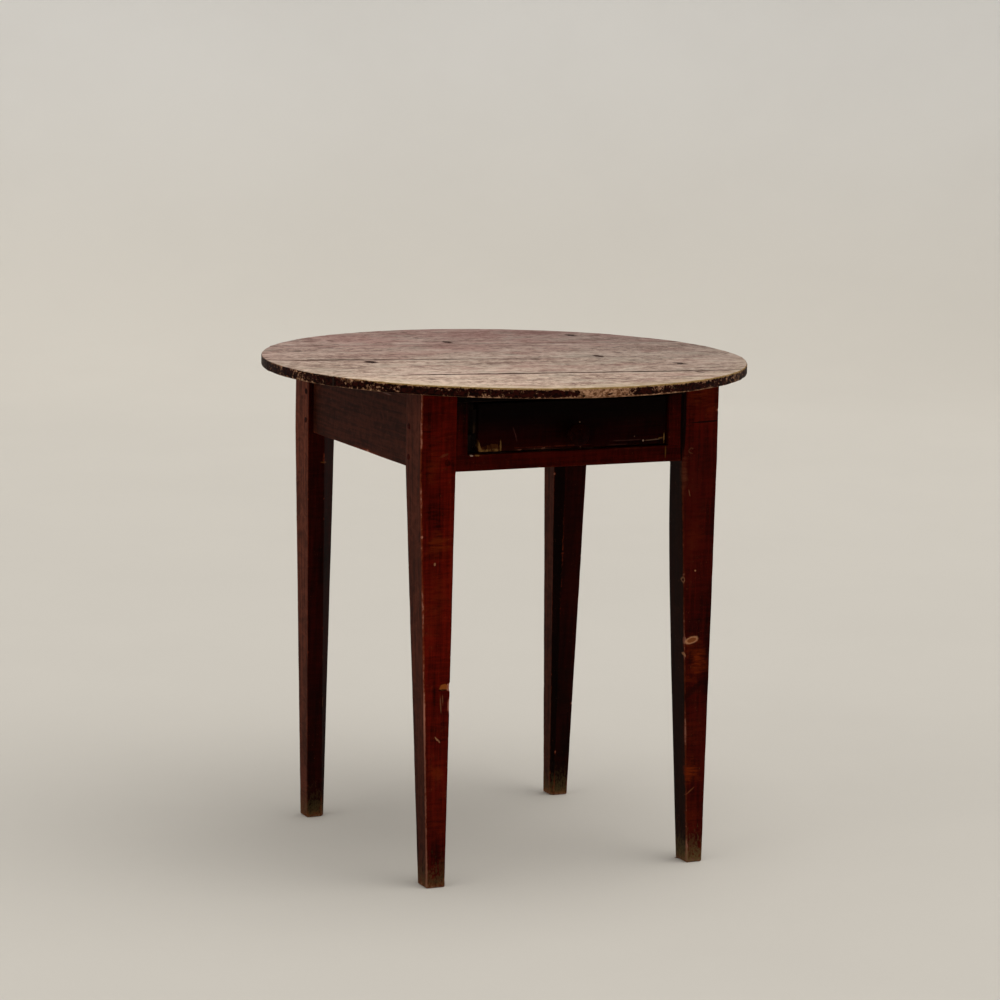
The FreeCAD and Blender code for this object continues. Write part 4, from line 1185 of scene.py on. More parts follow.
PALE, BUFF, CHALK = tone(168, 118, 84), tone(128, 86, 58), tone(150, 118, 96)
STRAW, OCHRE, TAN = tone(128, 94, 52), tone(84, 48, 20), tone(120, 66, 40)
ORANGE, EMBER, BROWN = tone(96, 32, 7), tone(84, 24, 5), tone(84, 56, 50)
MAUVE, BLACK, SHADOW = tone(80, 46, 42), tone(14, 5, 4), tone(8, 4, 3)

# Y of the legs' and rails' front faces, of the rear legs' front faces and of the drawer's front.
LEG_FACE = -HALF_DEPTH
REAR_LEG_FACE = SHOULDER_Y
DRAWER_FACE = FRONT_LOW.y

LEG_MARKS = {
    "leg_front_left": [
        glow((-0.218, LEG_FACE, 0.600), (0.018, 0.034), EMBER, 0.65),
        glow((-0.204, LEG_FACE, 0.492), (0.022, 0.028), ORANGE, 0.75),
        glow((-0.208, LEG_FACE, 0.410), (0.020, 0.056), EMBER, 0.55),
        glow((-0.204, LEG_FACE, 0.165), (0.016, 0.026), ORANGE, 0.55),
        glow((-0.202, LEG_FACE, 0.095), (0.016, 0.030), EMBER, 0.45),
        spot((-0.193, LEG_FACE, 0.2885), (0.0082, 0.0050), tone(132, 70, 28), 0.92),
        spot((-0.1945, LEG_FACE, 0.2845), (0.0075, 0.0016), BLACK, 0.75),
        spot((-0.1975, LEG_FACE, 0.2640), (0.0012, 0.0150), BUFF, 0.40, tilt=4),
        spot((-0.1945, LEG_FACE, 0.2700), (0.0012, 0.0090), BUFF, 0.30, tilt=4),
        spot((-0.2030, LEG_FACE, 0.2150), (0.0013, 0.0045), PALE, 0.50, tilt=35),
        spot((-0.1995, LEG_FACE, 0.2120), (0.0013, 0.0045), PALE, 0.45, tilt=35),
        spot((-0.2100, LEG_FACE, 0.4640), (0.0018, 0.0028), PALE, 0.50),
        spot((-0.1990, LEG_FACE, 0.6160), (0.0090, 0.0022), BUFF, 0.16, tilt=18),
    ],
    "leg_front_right": [
        glow((0.204, LEG_FACE, 0.692), (0.038, 0.046), ORANGE, 0.70),
        glow((0.177, LEG_FACE, 0.565), (0.009, 0.040), tone(86, 46, 30), 0.70),
        glow((0.200, LEG_FACE, 0.480), (0.024, 0.030), EMBER, 0.30),
        glow((0.204, LEG_FACE, 0.300), (0.021, 0.042), ORANGE, 0.95),
        glow((0.202, LEG_FACE, 0.190), (0.018, 0.040), EMBER, 0.35),
        glow((0.202, LEG_FACE, 0.137), (0.019, 0.024), ORANGE, 1.00),
        glow((0.202, LEG_FACE, 0.070), (0.020, 0.030), EMBER, 0.50),
        spot((0.1965, LEG_FACE, 0.3300), (0.0132, 0.0062), PALE, 0.85, tilt=14, rag=0.25),
        spot((0.1972, LEG_FACE, 0.3302), (0.0100, 0.0038), tone(104, 50, 16), 0.85, tilt=14, rag=0.6),
        spot((0.1850, LEG_FACE, 0.3110), (0.0016, 0.0062), PALE, 0.50, tilt=30),
        hoop((0.1790, LEG_FACE, 0.4190), (0.0050, 0.0058), PALE, 0.45),
        hoop((0.1880, LEG_FACE, 0.6060), (0.0056, 0.0052), BUFF, 0.24),
        spot((0.1865, LEG_FACE, 0.5450), (0.0010, 0.0066), BUFF, 0.45, tilt=14),
        spot((0.1995, LEG_FACE, 0.4315), (0.0015, 0.0015), PALE, 0.70),
        spot((0.2080, LEG_FACE, 0.6470), (0.0260, 0.0016), BLACK, 0.85, tilt=2),
        spot((0.1745, LEG_FACE, 0.6560), (0.0042, 0.0640), BLACK, 0.95, rag=0.2),
        spot((0.2000, LEG_FACE, 0.2560), (0.0240, 0.0050), BLACK, 0.45, tilt=40),
        spot((0.2010, LEG_FACE, 0.1070), (0.0120, 0.0013), TAN, 0.50, tilt=38),
    ],
    "leg_rear_left": [
        spot((-0.2030, REAR_LEG_FACE, 0.5460), (0.0120, 0.0018), tone(128, 76, 36), 0.50, tilt=-6),
        spot((-0.1960, 0.187, 0.1800), (0.0025, 0.02, 0.0180), BUFF, 0.22),
    ],
    "leg_rear_right": [],
}
APRON_MARKS = {
    "left_apron": [spot((-0.226, -0.091, 0.685), (0.01, 0.016, 0.0012), tone(110, 84, 76), 0.6)],
    "right_apron": [],
}
RAIL_MARKS = [
    spot((-0.1570, LEG_FACE, 0.6140), (0.0030, 0.0014), tone(190, 160, 140), 0.8),
    spot((-0.1480, LEG_FACE, 0.6140), (0.0040, 0.0016), tone(150, 108, 60), 0.6),
    spot((0.1460, LEG_FACE, 0.6070), (0.0012, 0.0100), tone(110, 78, 34), 0.4),
    spot((0.1720, LEG_FACE, 0.6120), (0.0026, 0.0240), SHADOW, 0.9, rag=0.2),
    spot((-0.0200, LEG_FACE, 0.6165), (0.0500, 0.0010), tone(118, 66, 50), 0.35),
]
STILE_MARKS = {
    "left_stile": [],
    "right_stile": [spot((FRONT_RIGHT - 0.0015, LEG_FACE, 0.656), (0.0030, 0.064), SHADOW, 0.95, rag=0.2)],
}
DRAWER_MARKS = [
    spot((-0.1250, DRAWER_FACE, 0.6215), (0.0210, 0.0065), OCHRE, 0.70, rag=1.2, brushed=True),
    spot((-0.1440, DRAWER_FACE, 0.6240), (0.0028, 0.0105), STRAW, 0.75, tilt=10, rag=1.2, brushed=True),
    spot((-0.1350, DRAWER_FACE, 0.6190), (0.0090, 0.0024), STRAW, 0.85, rag=1.3, brushed=True),
    spot((-0.1195, DRAWER_FACE, 0.6195), (0.0075, 0.0026), STRAW, 0.80, rag=1.3, brushed=True),
    spot((-0.1110, DRAWER_FACE, 0.6245), (0.0016, 0.0085), STRAW, 0.65, rag=0.9),
    spot((0.1120, DRAWER_FACE, 0.6235), (0.0016, 0.0016), tone(170, 140, 120), 0.75),
    spot((0.1280, DRAWER_FACE, 0.6240), (0.0150, 0.0009), CHALK, 0.28, tilt=3, rag=0.9),
    spot((0.1390, DRAWER_FACE, 0.6262), (0.0060, 0.0010), STRAW, 0.45, tilt=8, rag=0.9),
    spot((0.1450, DRAWER_FACE, 0.6265), (0.0013, 0.0090), STRAW, 0.75, rag=0.9),
    spot((-0.0900, DRAWER_FACE, 0.6440), (0.0012, 0.0090), MAUVE, 0.35, tilt=20, rag=0.9),
    spot((-0.0880, DRAWER_FACE, 0.6380), (0.0012, 0.0090), MAUVE, 0.30, tilt=16, rag=0.9),
    spot((-0.0250, DRAWER_FACE, 0.6215), (0.0700, 0.0009), tone(110, 48, 30), 0.40, rag=0.9, brushed=True),
    spot((0.0850, DRAWER_FACE, 0.6250), (0.0260, 0.0010), BROWN, 0.35, rag=0.9),
    spot((0.0700, DRAWER_FACE, 0.6195), (0.0200, 0.0009), BROWN, 0.30),
    spot((-0.0500, DRAWER_FACE, 0.6190), (0.0260, 0.0009), tone(84, 50, 40), 0.35),
    spot((0.0110, DRAWER_FACE, 0.6540), (0.0016, 0.0014), CHALK, 0.5),
    spot((0.0980, DRAWER_FACE, 0.6300), (0.0012, 0.0012), CHALK, 0.25),
]

# Places of the rim that are worn to the wood: centre, half the size and how much barer they are.
RIM_BARE = (
    ((-0.016, -0.352, 0.712), (0.066, 0.03, 0.030), 0.40),
    ((0.060, -0.340, 0.7055), (0.260, 0.08, 0.0028), 0.36),
    ((-0.350, -0.040, 0.712), (0.050, 0.110, 0.030), 0.02),
    ((0.335, -0.110, 0.712), (0.050, 0.100, 0.030), 0.12),
)


# ---- settings that a user would change ----

def colour_setting(name, description, default):
    return bpy.props.FloatVectorProperty(name=name, description=description, default=default, size=3,
                                         min=0.0, max=1.0, subtype="COLOR")


def length_setting(name, description, default):
    return bpy.props.FloatProperty(name=name, description=description, default=default, min=0.0,
                                   precision=5, subtype="DISTANCE", unit="LENGTH")


def share_setting(name, description, default):
    return bpy.props.FloatProperty(name=name, description=description, default=default, min=0.0, max=1.0,
                                   subtype="FACTOR")


def count_setting(name, description, default):
    return bpy.props.IntProperty(name=name, description=description, default=default, min=0)


def light_setting(name, description, default):
    return bpy.props.FloatProperty(name=name, description=description, default=default, min=0.0)


def angle_setting(name, description, degrees):
    return bpy.props.FloatProperty(name=name, description=description, default=math.radians(degrees),
                                   subtype="ANGLE", unit="ROTATION")


class TopSettings(bpy.types.PropertyGroup):
    """Wear and colours of the round top"""

    hollow: length_setting("Hollows", "Depth of the worn hollows in the top", 0.0005)
    nail_dent: length_setting("Nail dents", "Depth of the dents round the nail heads", 0.0008)
    rim_arris: length_setting("Rim rounding", "Radius of the rim's upper arris", 0.0019)
    seam_arris: length_setting("Seam rounding", "Radius of the boards' arrises at the seams", 0.0008)
    rim_chips: count_setting("Rim chips", "Chips out of each board's rim", 26)
    rim_chip_size: length_setting("Rim chip size", "Depth of the largest rim chips", 0.0024)
    rim_bite: length_setting("Rim roughness", "Depth of the bites out of the rim's face", 0.0009)
    top_light: colour_setting("Light wood", "Lightest streaks of the top", tone(228, 205, 188))
    top_mid: colour_setting("Wood", "Main colour of the top", tone(193, 168, 152))
    top_dark: colour_setting("Dark wood", "Darkest streaks of the top", tone(136, 111, 100))
    top_fringe: colour_setting("Fringe", "Cleaner wood along the front of the rim", tone(204, 184, 152))
    top_grey: colour_setting("Grey", "Weathered grey patches of the top", tone(160, 150, 134))
    top_red: colour_setting("Old red", "Traces of red paint in the grain", tone(158, 108, 100))
    red_traces: share_setting("Red traces", "How much red paint is left on the top", 0.45)
    top_dirt: colour_setting("Dirt", "Dirt in the grain lines", tone(64, 43, 36))
    iron_stain: colour_setting("Iron stain", "Stain round the nails", tone(48, 21, 15))
    seam_dirt: colour_setting("Seam dirt", "Colour inside the seams", tone(34, 21, 16))
    rim_paint: colour_setting("Rim paint", "Dark paint left on the rim", tone(14, 4, 2))
    rim_brown: colour_setting("Rim brown", "Thin paint on the rim", tone(46, 13, 8))
    rim_wood: colour_setting("Rim wood", "Bare wood of the rim's chips", tone(100, 64, 42))
    rim_pale: colour_setting("Rim pale wood", "Lightest wood of the rim's chips", tone(176, 134, 104))
    rim_gold: colour_setting("Rim golden wood", "Wood of the worn upper arris", tone(142, 116, 66))
    under_dark: colour_setting("Underside dark", "Dark grain of the underside", tone(92, 66, 46))
    under_light: colour_setting("Underside light", "Light grain of the underside", tone(150, 116, 82))
    top_roughness: share_setting("Roughness", "Roughness of the top's worn face", 0.62)
    top_gloss: share_setting("Gloss", "Strength of the top's highlights", 0.02)


class PaintSettings(bpy.types.PropertyGroup):
    """Old red paint of the base, the wood under it and the iron"""

    paint: colour_setting("Paint", "Main colour of the old paint", tone(86, 13, 4))
    thin_paint: colour_setting("Thin paint", "Colour where the paint is rubbed thin", tone(112, 46, 24))
    # This brown also stands in as a painted sheen on the lit sides of the legs and aprons.
    sheen_and_faded_paint: colour_setting("Faded paint", "Colour where the paint has gone brown", tone(90, 45, 32))
    fleck: colour_setting("Flecks", "Small pale flecks where the paint has flaked", tone(150, 98, 66))
    line: colour_setting("Rubbed wood", "Wood that shows at the rubbed arrises", tone(172, 112, 92))
    bare: colour_setting("Bare wood", "Light tone of the wood under the paint", tone(174, 134, 104))
    grime: colour_setting("Grime", "Dirt at the feet", tone(116, 100, 62))
    # Near black of painted shade: on shaded sides, under the top round the drawer and in the gap beside it.
    # It also darkens the legs downwards.
    near_black: colour_setting("Soot", "Dark grime at the front of the pieces round the drawer", tone(8, 5, 4))
    iron: colour_setting("Iron", "Dark iron of the nails", tone(28, 23, 21))
    rust: colour_setting("Rust", "Rust of the nails", tone(58, 34, 24))
    paint_roughness: share_setting("Roughness", "Roughness of the paint", 0.5)
    paint_gloss: share_setting("Gloss", "Strength of the paint's highlights", 0.012)
    arris: length_setting("Arris", "Radius of the worn arrises", 0.0012)
    wave: length_setting("Plane marks", "Depth of the hand-planed waves", 0.00025)
    chips: count_setting("Chips", "Chips out of each arris of a leg", 10)
    chip_size: length_setting("Chip size", "Widening of an arris at its largest chip", 0.0009)


class StageSettings(bpy.types.PropertyGroup):
    """Floor, light and camera"""

    floor: colour_setting("Floor", "Colour of the floor", tone(206, 201, 192))
    wall: colour_setting("Backdrop", "Colour of the backdrop", tone(226, 224, 220))
    radius: length_setting("Stage radius", "Distance of the backdrop from the table", 7.0)
    key: light_setting("Key light", "Strength of the soft light from above", 1.9)
    side: light_setting("Side light", "Strength of the soft light from the left", 0.55)
    fill: light_setting("Fill", "Strength of the light from all round", 0.36)
    lens: bpy.props.FloatProperty(name="Lens", description="Focal length on a 36 mm wide sensor",
                                  default=134.866, subtype="DISTANCE_CAMERA", unit="CAMERA")
    camera_place: bpy.props.FloatVectorProperty(name="Camera", description="Place of the camera", size=3,
                                                default=(-2.3001, -4.9116, 1.377), subtype="TRANSLATION",
                                                unit="LENGTH")
    yaw: angle_setting("Yaw", "Turn of the view from +Y towards +X", 25.0713)
    pitch: angle_setting("Pitch", "How far the view looks down", 9.1041)
    roll: angle_setting("Roll", "Turn of the camera about its view", 1.15626)


# ---- pieces ----

class TABLE_OT_top(bpy.types.Operator):
    """Make the four worn boards of the round top"""

    bl_idname = "tavern_table.top"
    bl_label = "Top boards"

    def execute(self, context):
        settings = context.scene.tavern_top
        boards = {
            # its front and rear seam, its seed and its tint
            "top_board_rear": (REAR_SEAM, None, 3, (1.03, 1.03, 1.02)),
            "top_board_mid_rear": (MIDDLE_SEAM, REAR_SEAM, 5, (0.97, 0.96, 0.95)),
            "top_board_mid_front": (FRONT_SEAM, MIDDLE_SEAM, 7, (1.02, 1.01, 0.99)),
            "top_board_front": (None, FRONT_SEAM, 9, (1.14, 1.13, 1.09)),
        }
        for name, (front, rear, seed, tint) in boards.items():
            finish = board_finish(name + "_finish", seed, settings, tint)
            worn_board(name, front, rear, seed, settings, finish, SETTLED.get(name))
        return {"FINISHED"}


def leg_stations(name, form):
    """Sections of a leg from its foot up, with the foot's arris rounded."""
    low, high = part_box(name)
    outer, head_width = max(high.x, -low.x), high.x - low.x
    foot_width, foot_depth = form["foot"]
    stop = LEG_CUT_STOP / APRON_BOTTOM

    def section(down):
        """Section at a share of the way from the taper's start down to the floor."""
        width = head_width + (foot_width - head_width) * down
        depth = LEG_DEPTH + (foot_depth - LEG_DEPTH) * down
        lean = form["lean"] * down
        if down < stop:
            cut = LEG_CUT_START + (form["cut"] - LEG_CUT_START) * down / stop
        else:
            faded = ((1 - down) / (1 - stop)) ** form["fade"]
            cut = form["foot_cut"] + (form["cut"] - form["foot_cut"]) * faded
        places = [(lean, 0), (lean + width, 0), (lean + width, depth - cut), (lean + width - cut, depth),
                  (lean, depth)]
        return [(form["side"] * (outer - u), form["end"] * (HALF_DEPTH - v)) for u, v in places]

    stations = []
    for k in range(FOOT_STEPS + 1):
        angle = math.pi / 2 * k / FOOT_STEPS
        height = FOOT_ROUNDING * (1 - math.cos(angle))
        depth = FOOT_ROUNDING * (1 - math.sin(angle))
        stations.append((height, inset(section(1 - height / APRON_BOTTOM), depth)))
    for k in range(TAPER_STEPS - 1, 0, -1):
        share = k / TAPER_STEPS
        stations.append((APRON_BOTTOM * (1 - stop) * (1 - share), section(stop + (1 - stop) * share)))
    for k in range(CUT_STEPS, -1, -1):
        share = k / CUT_STEPS
        stations.append((APRON_BOTTOM - LEG_CUT_STOP * share, section(stop * share)))
    stations.append((FRAME_TOP, section(0)))
    return stations


class TABLE_OT_legs(bpy.types.Operator):
    """Make the four tapered legs with their worn arrises and feet"""

    bl_idname = "tavern_table.legs"
    bl_label = "Legs"

    def execute(self, context):
        settings = context.scene.tavern_paint
        for seed, (name, form) in enumerate(LEGS.items(), 11):
            wear = LEG_WEAR[name]
            finish = old_paint(name + "_paint", "Z", seed, settings, wear["depth"], wear["curl"],
                               foot=(FOOT_WEAR, wear["dirt"]), spots=LEG_MARKS[name], worn=wear["rubbed"],
                               darkening=wear["darkening"])
            joints = [(1, APRON_BOTTOM, FRAME_TOP)] if form["end"] < 0 else ()
            worn_bar(name, leg_stations(name, form), upright, seed, settings, finish, chips=settings.chips,
                     chip_size=settings.chip_size, worn_ends=(0.0,), lines=wear["lines"],
                     dents=wear["dents"], joints=joints, painted_shade_sides=wear["dark"], sheen_and_faded_sides=wear["faded"])
        return {"FINISHED"}


def tenoned(body, tenon, low, high, tenon_low, tenon_high):
    """Sections of a bar with a shoulder and a tenon at each end."""
    return [(tenon_low, tenon), (low, tenon), (low, body), (high, body), (high, tenon), (tenon_high, tenon)]


class TABLE_OT_aprons(bpy.types.Operator):
    """Make the left, right and rear aprons"""

    bl_idname = "tavern_table.aprons"
    bl_label = "Aprons"

    def execute(self, context):
        settings = context.scene.tavern_paint
        tenon_bottom = APRON_BOTTOM + TENON_SHOULDER_BOTTOM
        tenon_top = FRAME_TOP - TENON_SHOULDER_TOP
        for seed, (name, marks) in enumerate(APRON_MARKS.items(), 21):
            low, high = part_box(name)
            side = 1 if low.x > 0 else -1
            inner, outer = (high.x, low.x) if side < 0 else (low.x, high.x)
            tenon_outer = outer - side * TENON_INSET
            body = rectangle((inner, APRON_BOTTOM), (outer, FRAME_TOP))
            tenon = rectangle((tenon_outer - side * TENON_THICKNESS, tenon_bottom), (tenon_outer, tenon_top))
            finish = old_paint(name + "_paint", "Y", seed, settings, depth=0.8, spots=marks)
            # The outer faces are darkened as painted shade under the top, and turned brown, also as a
            # painted sheen.
            worn_bar(name, tenoned(body, tenon, -SHOULDER_Y, SHOULDER_Y, low.y, high.y), front_to_back, seed,
                     settings, finish, chips=6, bare_sides=(3,), painted_shade_sides={1: 0.5}, sheen_and_faded_sides={1: 0.9},
                     step=LONG_STEP)
        outer, inner = REAR_HIGH.y, REAR_LOW.y
        tenon_outer = outer - TENON_INSET
        body = rectangle((inner, APRON_BOTTOM), (outer, FRAME_TOP))
        tenon = rectangle((tenon_outer - TENON_THICKNESS, tenon_bottom), (tenon_outer, tenon_top))
        finish = old_paint("rear_apron_paint", "X", 23, settings, depth=0.8)
        worn_bar("rear_apron", tenoned(body, tenon, REAR_LEFT, REAR_RIGHT, REAR_LOW.x, REAR_HIGH.x),
                 left_to_right, 23, settings, finish, chips=6, bare_sides=(3,), step=LONG_STEP)
        return {"FINISHED"}


class TABLE_OT_front_rails(bpy.types.Operator):
    """Make the rails and stiles round the drawer"""

    bl_idname = "tavern_table.front_rails"
    bl_label = "Front rails"

    def execute(self, context):
        settings = context.scene.tavern_paint
        stiles = {name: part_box(name) for name in STILE_MARKS}
        self.drawer_rail(settings, stiles)
        self.upper_rail(settings)
        self.stiles(settings, stiles)
        return {"FINISHED"}

    def drawer_rail(self, settings, stiles):
        body = rectangle((-HALF_DEPTH, RAIL_LOW.z), (RAIL_HIGH.y, RAIL_HIGH.z))
        front, bottom = RAIL_TENON_FRONT - HALF_DEPTH, RAIL_LOW.z + RAIL_TENON_BOTTOM
        tenon = rectangle((front, bottom), (front + RAIL_TENON_DEPTH, bottom + RAIL_TENON_HEIGHT))
        # The rail's paint is made dark (depth) as painted shade under the top.
        finish = old_paint("drawer_rail_paint", "X", 31, settings, depth=0.42, curl=0.15, spots=RAIL_MARKS)
        joints = ((3, FRONT_LEFT, stiles["left_stile"][1].x), (3, stiles["right_stile"][0].x, FRONT_RIGHT))
        worn_bar("drawer_rail", tenoned(body, tenon, FRONT_LEFT, FRONT_RIGHT, RAIL_LOW.x, RAIL_HIGH.x),
                 left_to_right, 31, settings, finish, bare_sides=(1,), joints=joints)

    def upper_rail(self, settings):
        centre = (UPPER_HIGH.y - HALF_DEPTH) / 2
        body = rectangle((-HALF_DEPTH, UPPER_LOW.z), (UPPER_HIGH.y, FRAME_TOP))
        neck, tail = (rectangle((centre - width / 2, UPPER_LOW.z), (centre + width / 2, FRAME_TOP))
                      for width in (DOVETAIL_NECK, DOVETAIL_END))
        stations = [(UPPER_LOW.x, tail), (FRONT_LEFT, neck), (FRONT_LEFT, body), (FRONT_RIGHT, body),
                    (FRONT_RIGHT, neck), (UPPER_HIGH.x, tail)]
        # Dark paint and near black towards the top: painted shade under the top.
        finish = old_paint("upper_rail_paint", "X", 32, settings, depth=0.3, darkening=(0.660, 0.689, 0.95))
        worn_bar("upper_rail", stations, left_to_right, 32, settings, finish, arris=0.7, chips=4,
                 bare_sides=(0, 1), lines=(0.1,) * 4, step=LONG_STEP)

    def stiles(self, settings, stiles):
        # Near black towards the top of the stiles and their dark paint: painted shade under the top.
        darkening = {"left_stile": (0.640, 0.690, 0.9), "right_stile": (0.655, 0.705, 0.8)}
        for seed, (name, (low, high)) in enumerate(stiles.items(), 33):
            outline = rectangle((low.x, -HALF_DEPTH), (high.x, -HALF_DEPTH + STILE_THICKNESS))
            against = 0 if name == "left_stile" else 1
            finish = old_paint(name + "_paint", "Z", seed, settings, depth=0.45, curl=0.15,
                               spots=STILE_MARKS[name], darkening=darkening[name])
            worn_bar(name, [(RAIL_HIGH.z, outline), (UPPER_LOW.z, outline)], upright, seed, settings, finish,
                     arris=0.7, chips=2, bare_sides=(2,), lines=(0.3,) * 4,
                     joints=((against, RAIL_HIGH.z, UPPER_LOW.z),), step=0.0025, side_step=0.003)


# How much shorter the worn drawer front is at each end.
DRAWER_SHY = 0.00015


class TABLE_OT_drawer_front(bpy.types.Operator):
    """Make the drawer's painted front"""

    bl_idname = "tavern_table.drawer_front"
    bl_label = "Drawer front"

    def execute(self, context):
        settings = context.scene.tavern_paint
        outline = rectangle((FRONT_LOW.y, FRONT_LOW.z), (FRONT_HIGH.y, FRONT_HIGH.z))
        low, high = FRONT_LOW.x + DRAWER_SHY, FRONT_HIGH.x - DRAWER_SHY
        arris, part = settings.arris, 0.3 * settings.arris
        worn, eased_end = inset(outline, arris), inset(outline, part)
        stations = [(low, worn), (low + part, eased_end), (low + arris, outline), (high - arris, outline),
                    (high - part, eased_end), (high, worn)]
        # Dark paint and near black towards the top: painted shade under the top.
        finish = old_paint("drawer_front_paint", "X", 41, settings, depth=0.15, curl=0.15,
                           spots=DRAWER_MARKS, darkening=(0.628, 0.672, 0.92), flecks=0.08)
        worn_bar("drawer_front", stations, left_to_right, 41, settings, finish, body="drawer", chips=9,
                 bare_sides=(1,), lines=(0.7, 0.3, 0.2, 0.3))
        return {"FINISHED"}


# Points round the knob, step along its profile, and how far out its worn head starts.
KNOB_TURNS = 64
KNOB_STEP = 0.0012
KNOB_WORN_FROM = 0.0135

# Profile of the knob: radius and how far it stands out from the drawer front.
KNOB_PROFILE = (
    (0.0, -0.020), (0.0055, -0.020), (0.0060, -0.0195), (0.0060, 0.0), (0.0108, 0.0), (0.0115, 0.0006),
    (0.0115, 0.0018), (0.0108, 0.0026), (0.0090, 0.0050), (0.0083, 0.0075), (0.0090, 0.0100),
    (0.0110, 0.0125), (0.0135, 0.0140), (0.0156, 0.0156), (0.0165, 0.0178), (0.0162, 0.0200),
    (0.0150, 0.0216), (0.0120, 0.0238), (0.0080, 0.0256), (0.0040, 0.0267), (0.0, 0.0270),
)


class TABLE_OT_knob(bpy.types.Operator):
    """Make the drawer's turned knob"""

    bl_idname = "tavern_table.knob"
    bl_label = "Knob"

    def execute(self, context):
        settings = context.scene.tavern_paint
        centre = Vector(((KNOB_LOW.x + KNOB_HIGH.x) / 2, FRONT_LOW.y, (KNOB_LOW.z + KNOB_HIGH.z) / 2))
        rows = []
        for (radius, proud), (next_radius, next_proud) in zip(KNOB_PROFILE, KNOB_PROFILE[1:]):
            rise, growth = next_proud - proud, next_radius - radius
            steps = max(1, round(math.hypot(growth, rise) / KNOB_STEP))
            rows += [(radius + growth * k / steps, proud + rise * k / steps) for k in range(steps)]
        points, wear = [centre + Vector((0, -KNOB_PROFILE[0][1], 0))], [0.0]
        for radius, proud in rows[1:]:
            for k in range(KNOB_TURNS):
                angle = 2 * math.pi * k / KNOB_TURNS
                oval, bumpy = math.sin(2 * angle + 0.7), math.sin(3 * angle + 40 * proud)
                uneven = 0.012 * (1 + oval) + 0.006 * (1 + bumpy)
                reach = radius * (1 - uneven if proud > 0 else 1)
                points.append(centre + Vector((reach * math.cos(angle), -proud, reach * math.sin(angle))))
                wear.append(0.75 if proud > KNOB_WORN_FROM else 0.0)
        points.append(centre + Vector((0, -KNOB_PROFILE[-1][1], 0)))
        wear.append(0.9)
        last = len(points) - 1
        faces = fan_faces(0, 1, KNOB_TURNS) + ring_faces(len(rows) - 1, KNOB_TURNS, start=1)
        faces += flipped(fan_faces(last, last - KNOB_TURNS, KNOB_TURNS))
        # The knob's paint is made nearly black as painted shade under the top.
        finish = old_paint("knob_paint", "Y", 51, settings, depth=0.10, curl=0.15)
        values = {"wear": wear, "bare": np.zeros(len(points))}
        piece("drawer_knob_turned", np.array(points), faces, values, "drawer", ["drawer_knob"],
              finish)
        return {"FINISHED"}


# Roundings of the pieces that keep their CAD shape, and how near two of their points are made one.
BOX_ARRIS = 0.0006
RUNNER_ARRIS = 0.0008
PEG_ARRIS = 0.0003
NAIL_ARRIS = 0.0002
WELD_DISTANCE = 0.00002

# How far the painted shade of the gap beside the drawer reaches in from the front, and how dark the wood
# inside the frame is painted, as shade.
SIDE_GAP_SHADE = 0.11
RUNNER_GAP_SHADE = 0.30
RUNNER_SHADE = 0.85


def dress(node, finish, bevel):
    """Gives a CAD node its finish and rounds its arrises."""
    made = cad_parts[node]
    for slot in made.material_slots:
        slot.material = finish
    if not made.material_slots:
        made.data.materials.append(finish)
    weld = made.modifiers.new("Weld", "WELD")
    weld.merge_threshold = WELD_DISTANCE
    rounding = made.modifiers.new("Arrises", "BEVEL")
    rounding.width = bevel
    rounding.segments = 2
    rounding.limit_method = "ANGLE"
    rounding.angle_limit = SHARP_ANGLE
    rounding.harden_normals = True


class TABLE_OT_drawer_box(bpy.types.Operator):
    """Finish the drawer's sides, back and bottom"""

    bl_idname = "tavern_table.drawer_box"
    bl_label = "Drawer box"

    def execute(self, context):
        settings = context.scene.tavern_paint
        grains = {"left_side": "Y", "right_side": "Y", "back": "X", "bottom": "X"}
        for seed, (part, axis) in enumerate(grains.items(), 61):
            node = "drawer_" + part
            gap_shade = SIDE_GAP_SHADE if part == "left_side" else 0.0
            dress(node, bare_wood(node + "_wood", axis, seed, settings, gap_shade=gap_shade), BOX_ARRIS)
        return {"FINISHED"}


class TABLE_OT_runners(bpy.types.Operator):
    """Finish the runners, guides, kickers and stops inside the frame"""

    bl_idname = "tavern_table.runners"
    bl_label = "Runners"

    def execute(self, context):
        settings = context.scene.tavern_paint
        for seed, kind in enumerate(("runner", "guide", "kicker"), 71):
            for side in ("left", "right"):
                node = side + "_" + kind
                wood = bare_wood(node + "_wood", "Y", seed + len(side), settings, RUNNER_SHADE, RUNNER_GAP_SHADE)
                dress(node, wood, RUNNER_ARRIS)
        dress("drawer_stops", bare_wood("drawer_stops_wood", "X", 79, settings, RUNNER_SHADE), BOX_ARRIS)
        return {"FINISHED"}


class TABLE_OT_fasteners(bpy.types.Operator):
    """Finish the pegs and the nails"""

    bl_idname = "tavern_table.fasteners"
    bl_label = "Pegs and nails"

    def execute(self, context):
        settings = context.scene.tavern_paint
        dress("frame_pegs", old_paint("frame_pegs_paint", "Y", 81, settings, depth=0.35), PEG_ARRIS)
        iron = old_iron("nail_iron", settings)
        for node in ("top_nails", "runner_nails", "drawer_nails"):
            dress(node, iron, NAIL_ARRIS)
        return {"FINISHED"}


# ---- stage ----

# The floor is flat to a radius, then rises in a wide curve to the top of the backdrop.
FLAT_RADIUS = 2.0
STAGE_CURVE = 1.8
STAGE_HEIGHT = 3.2
STAGE_TURNS = 96
CURVE_STEPS = 12
LAMP_COLOUR = (1.0, 0.985, 0.96)
SENSOR_WIDTH = 36.0


def stage_object(name, data):
    made = bpy.data.objects.new(name, data)
    bpy.context.scene.collection.objects.link(made)
    return made


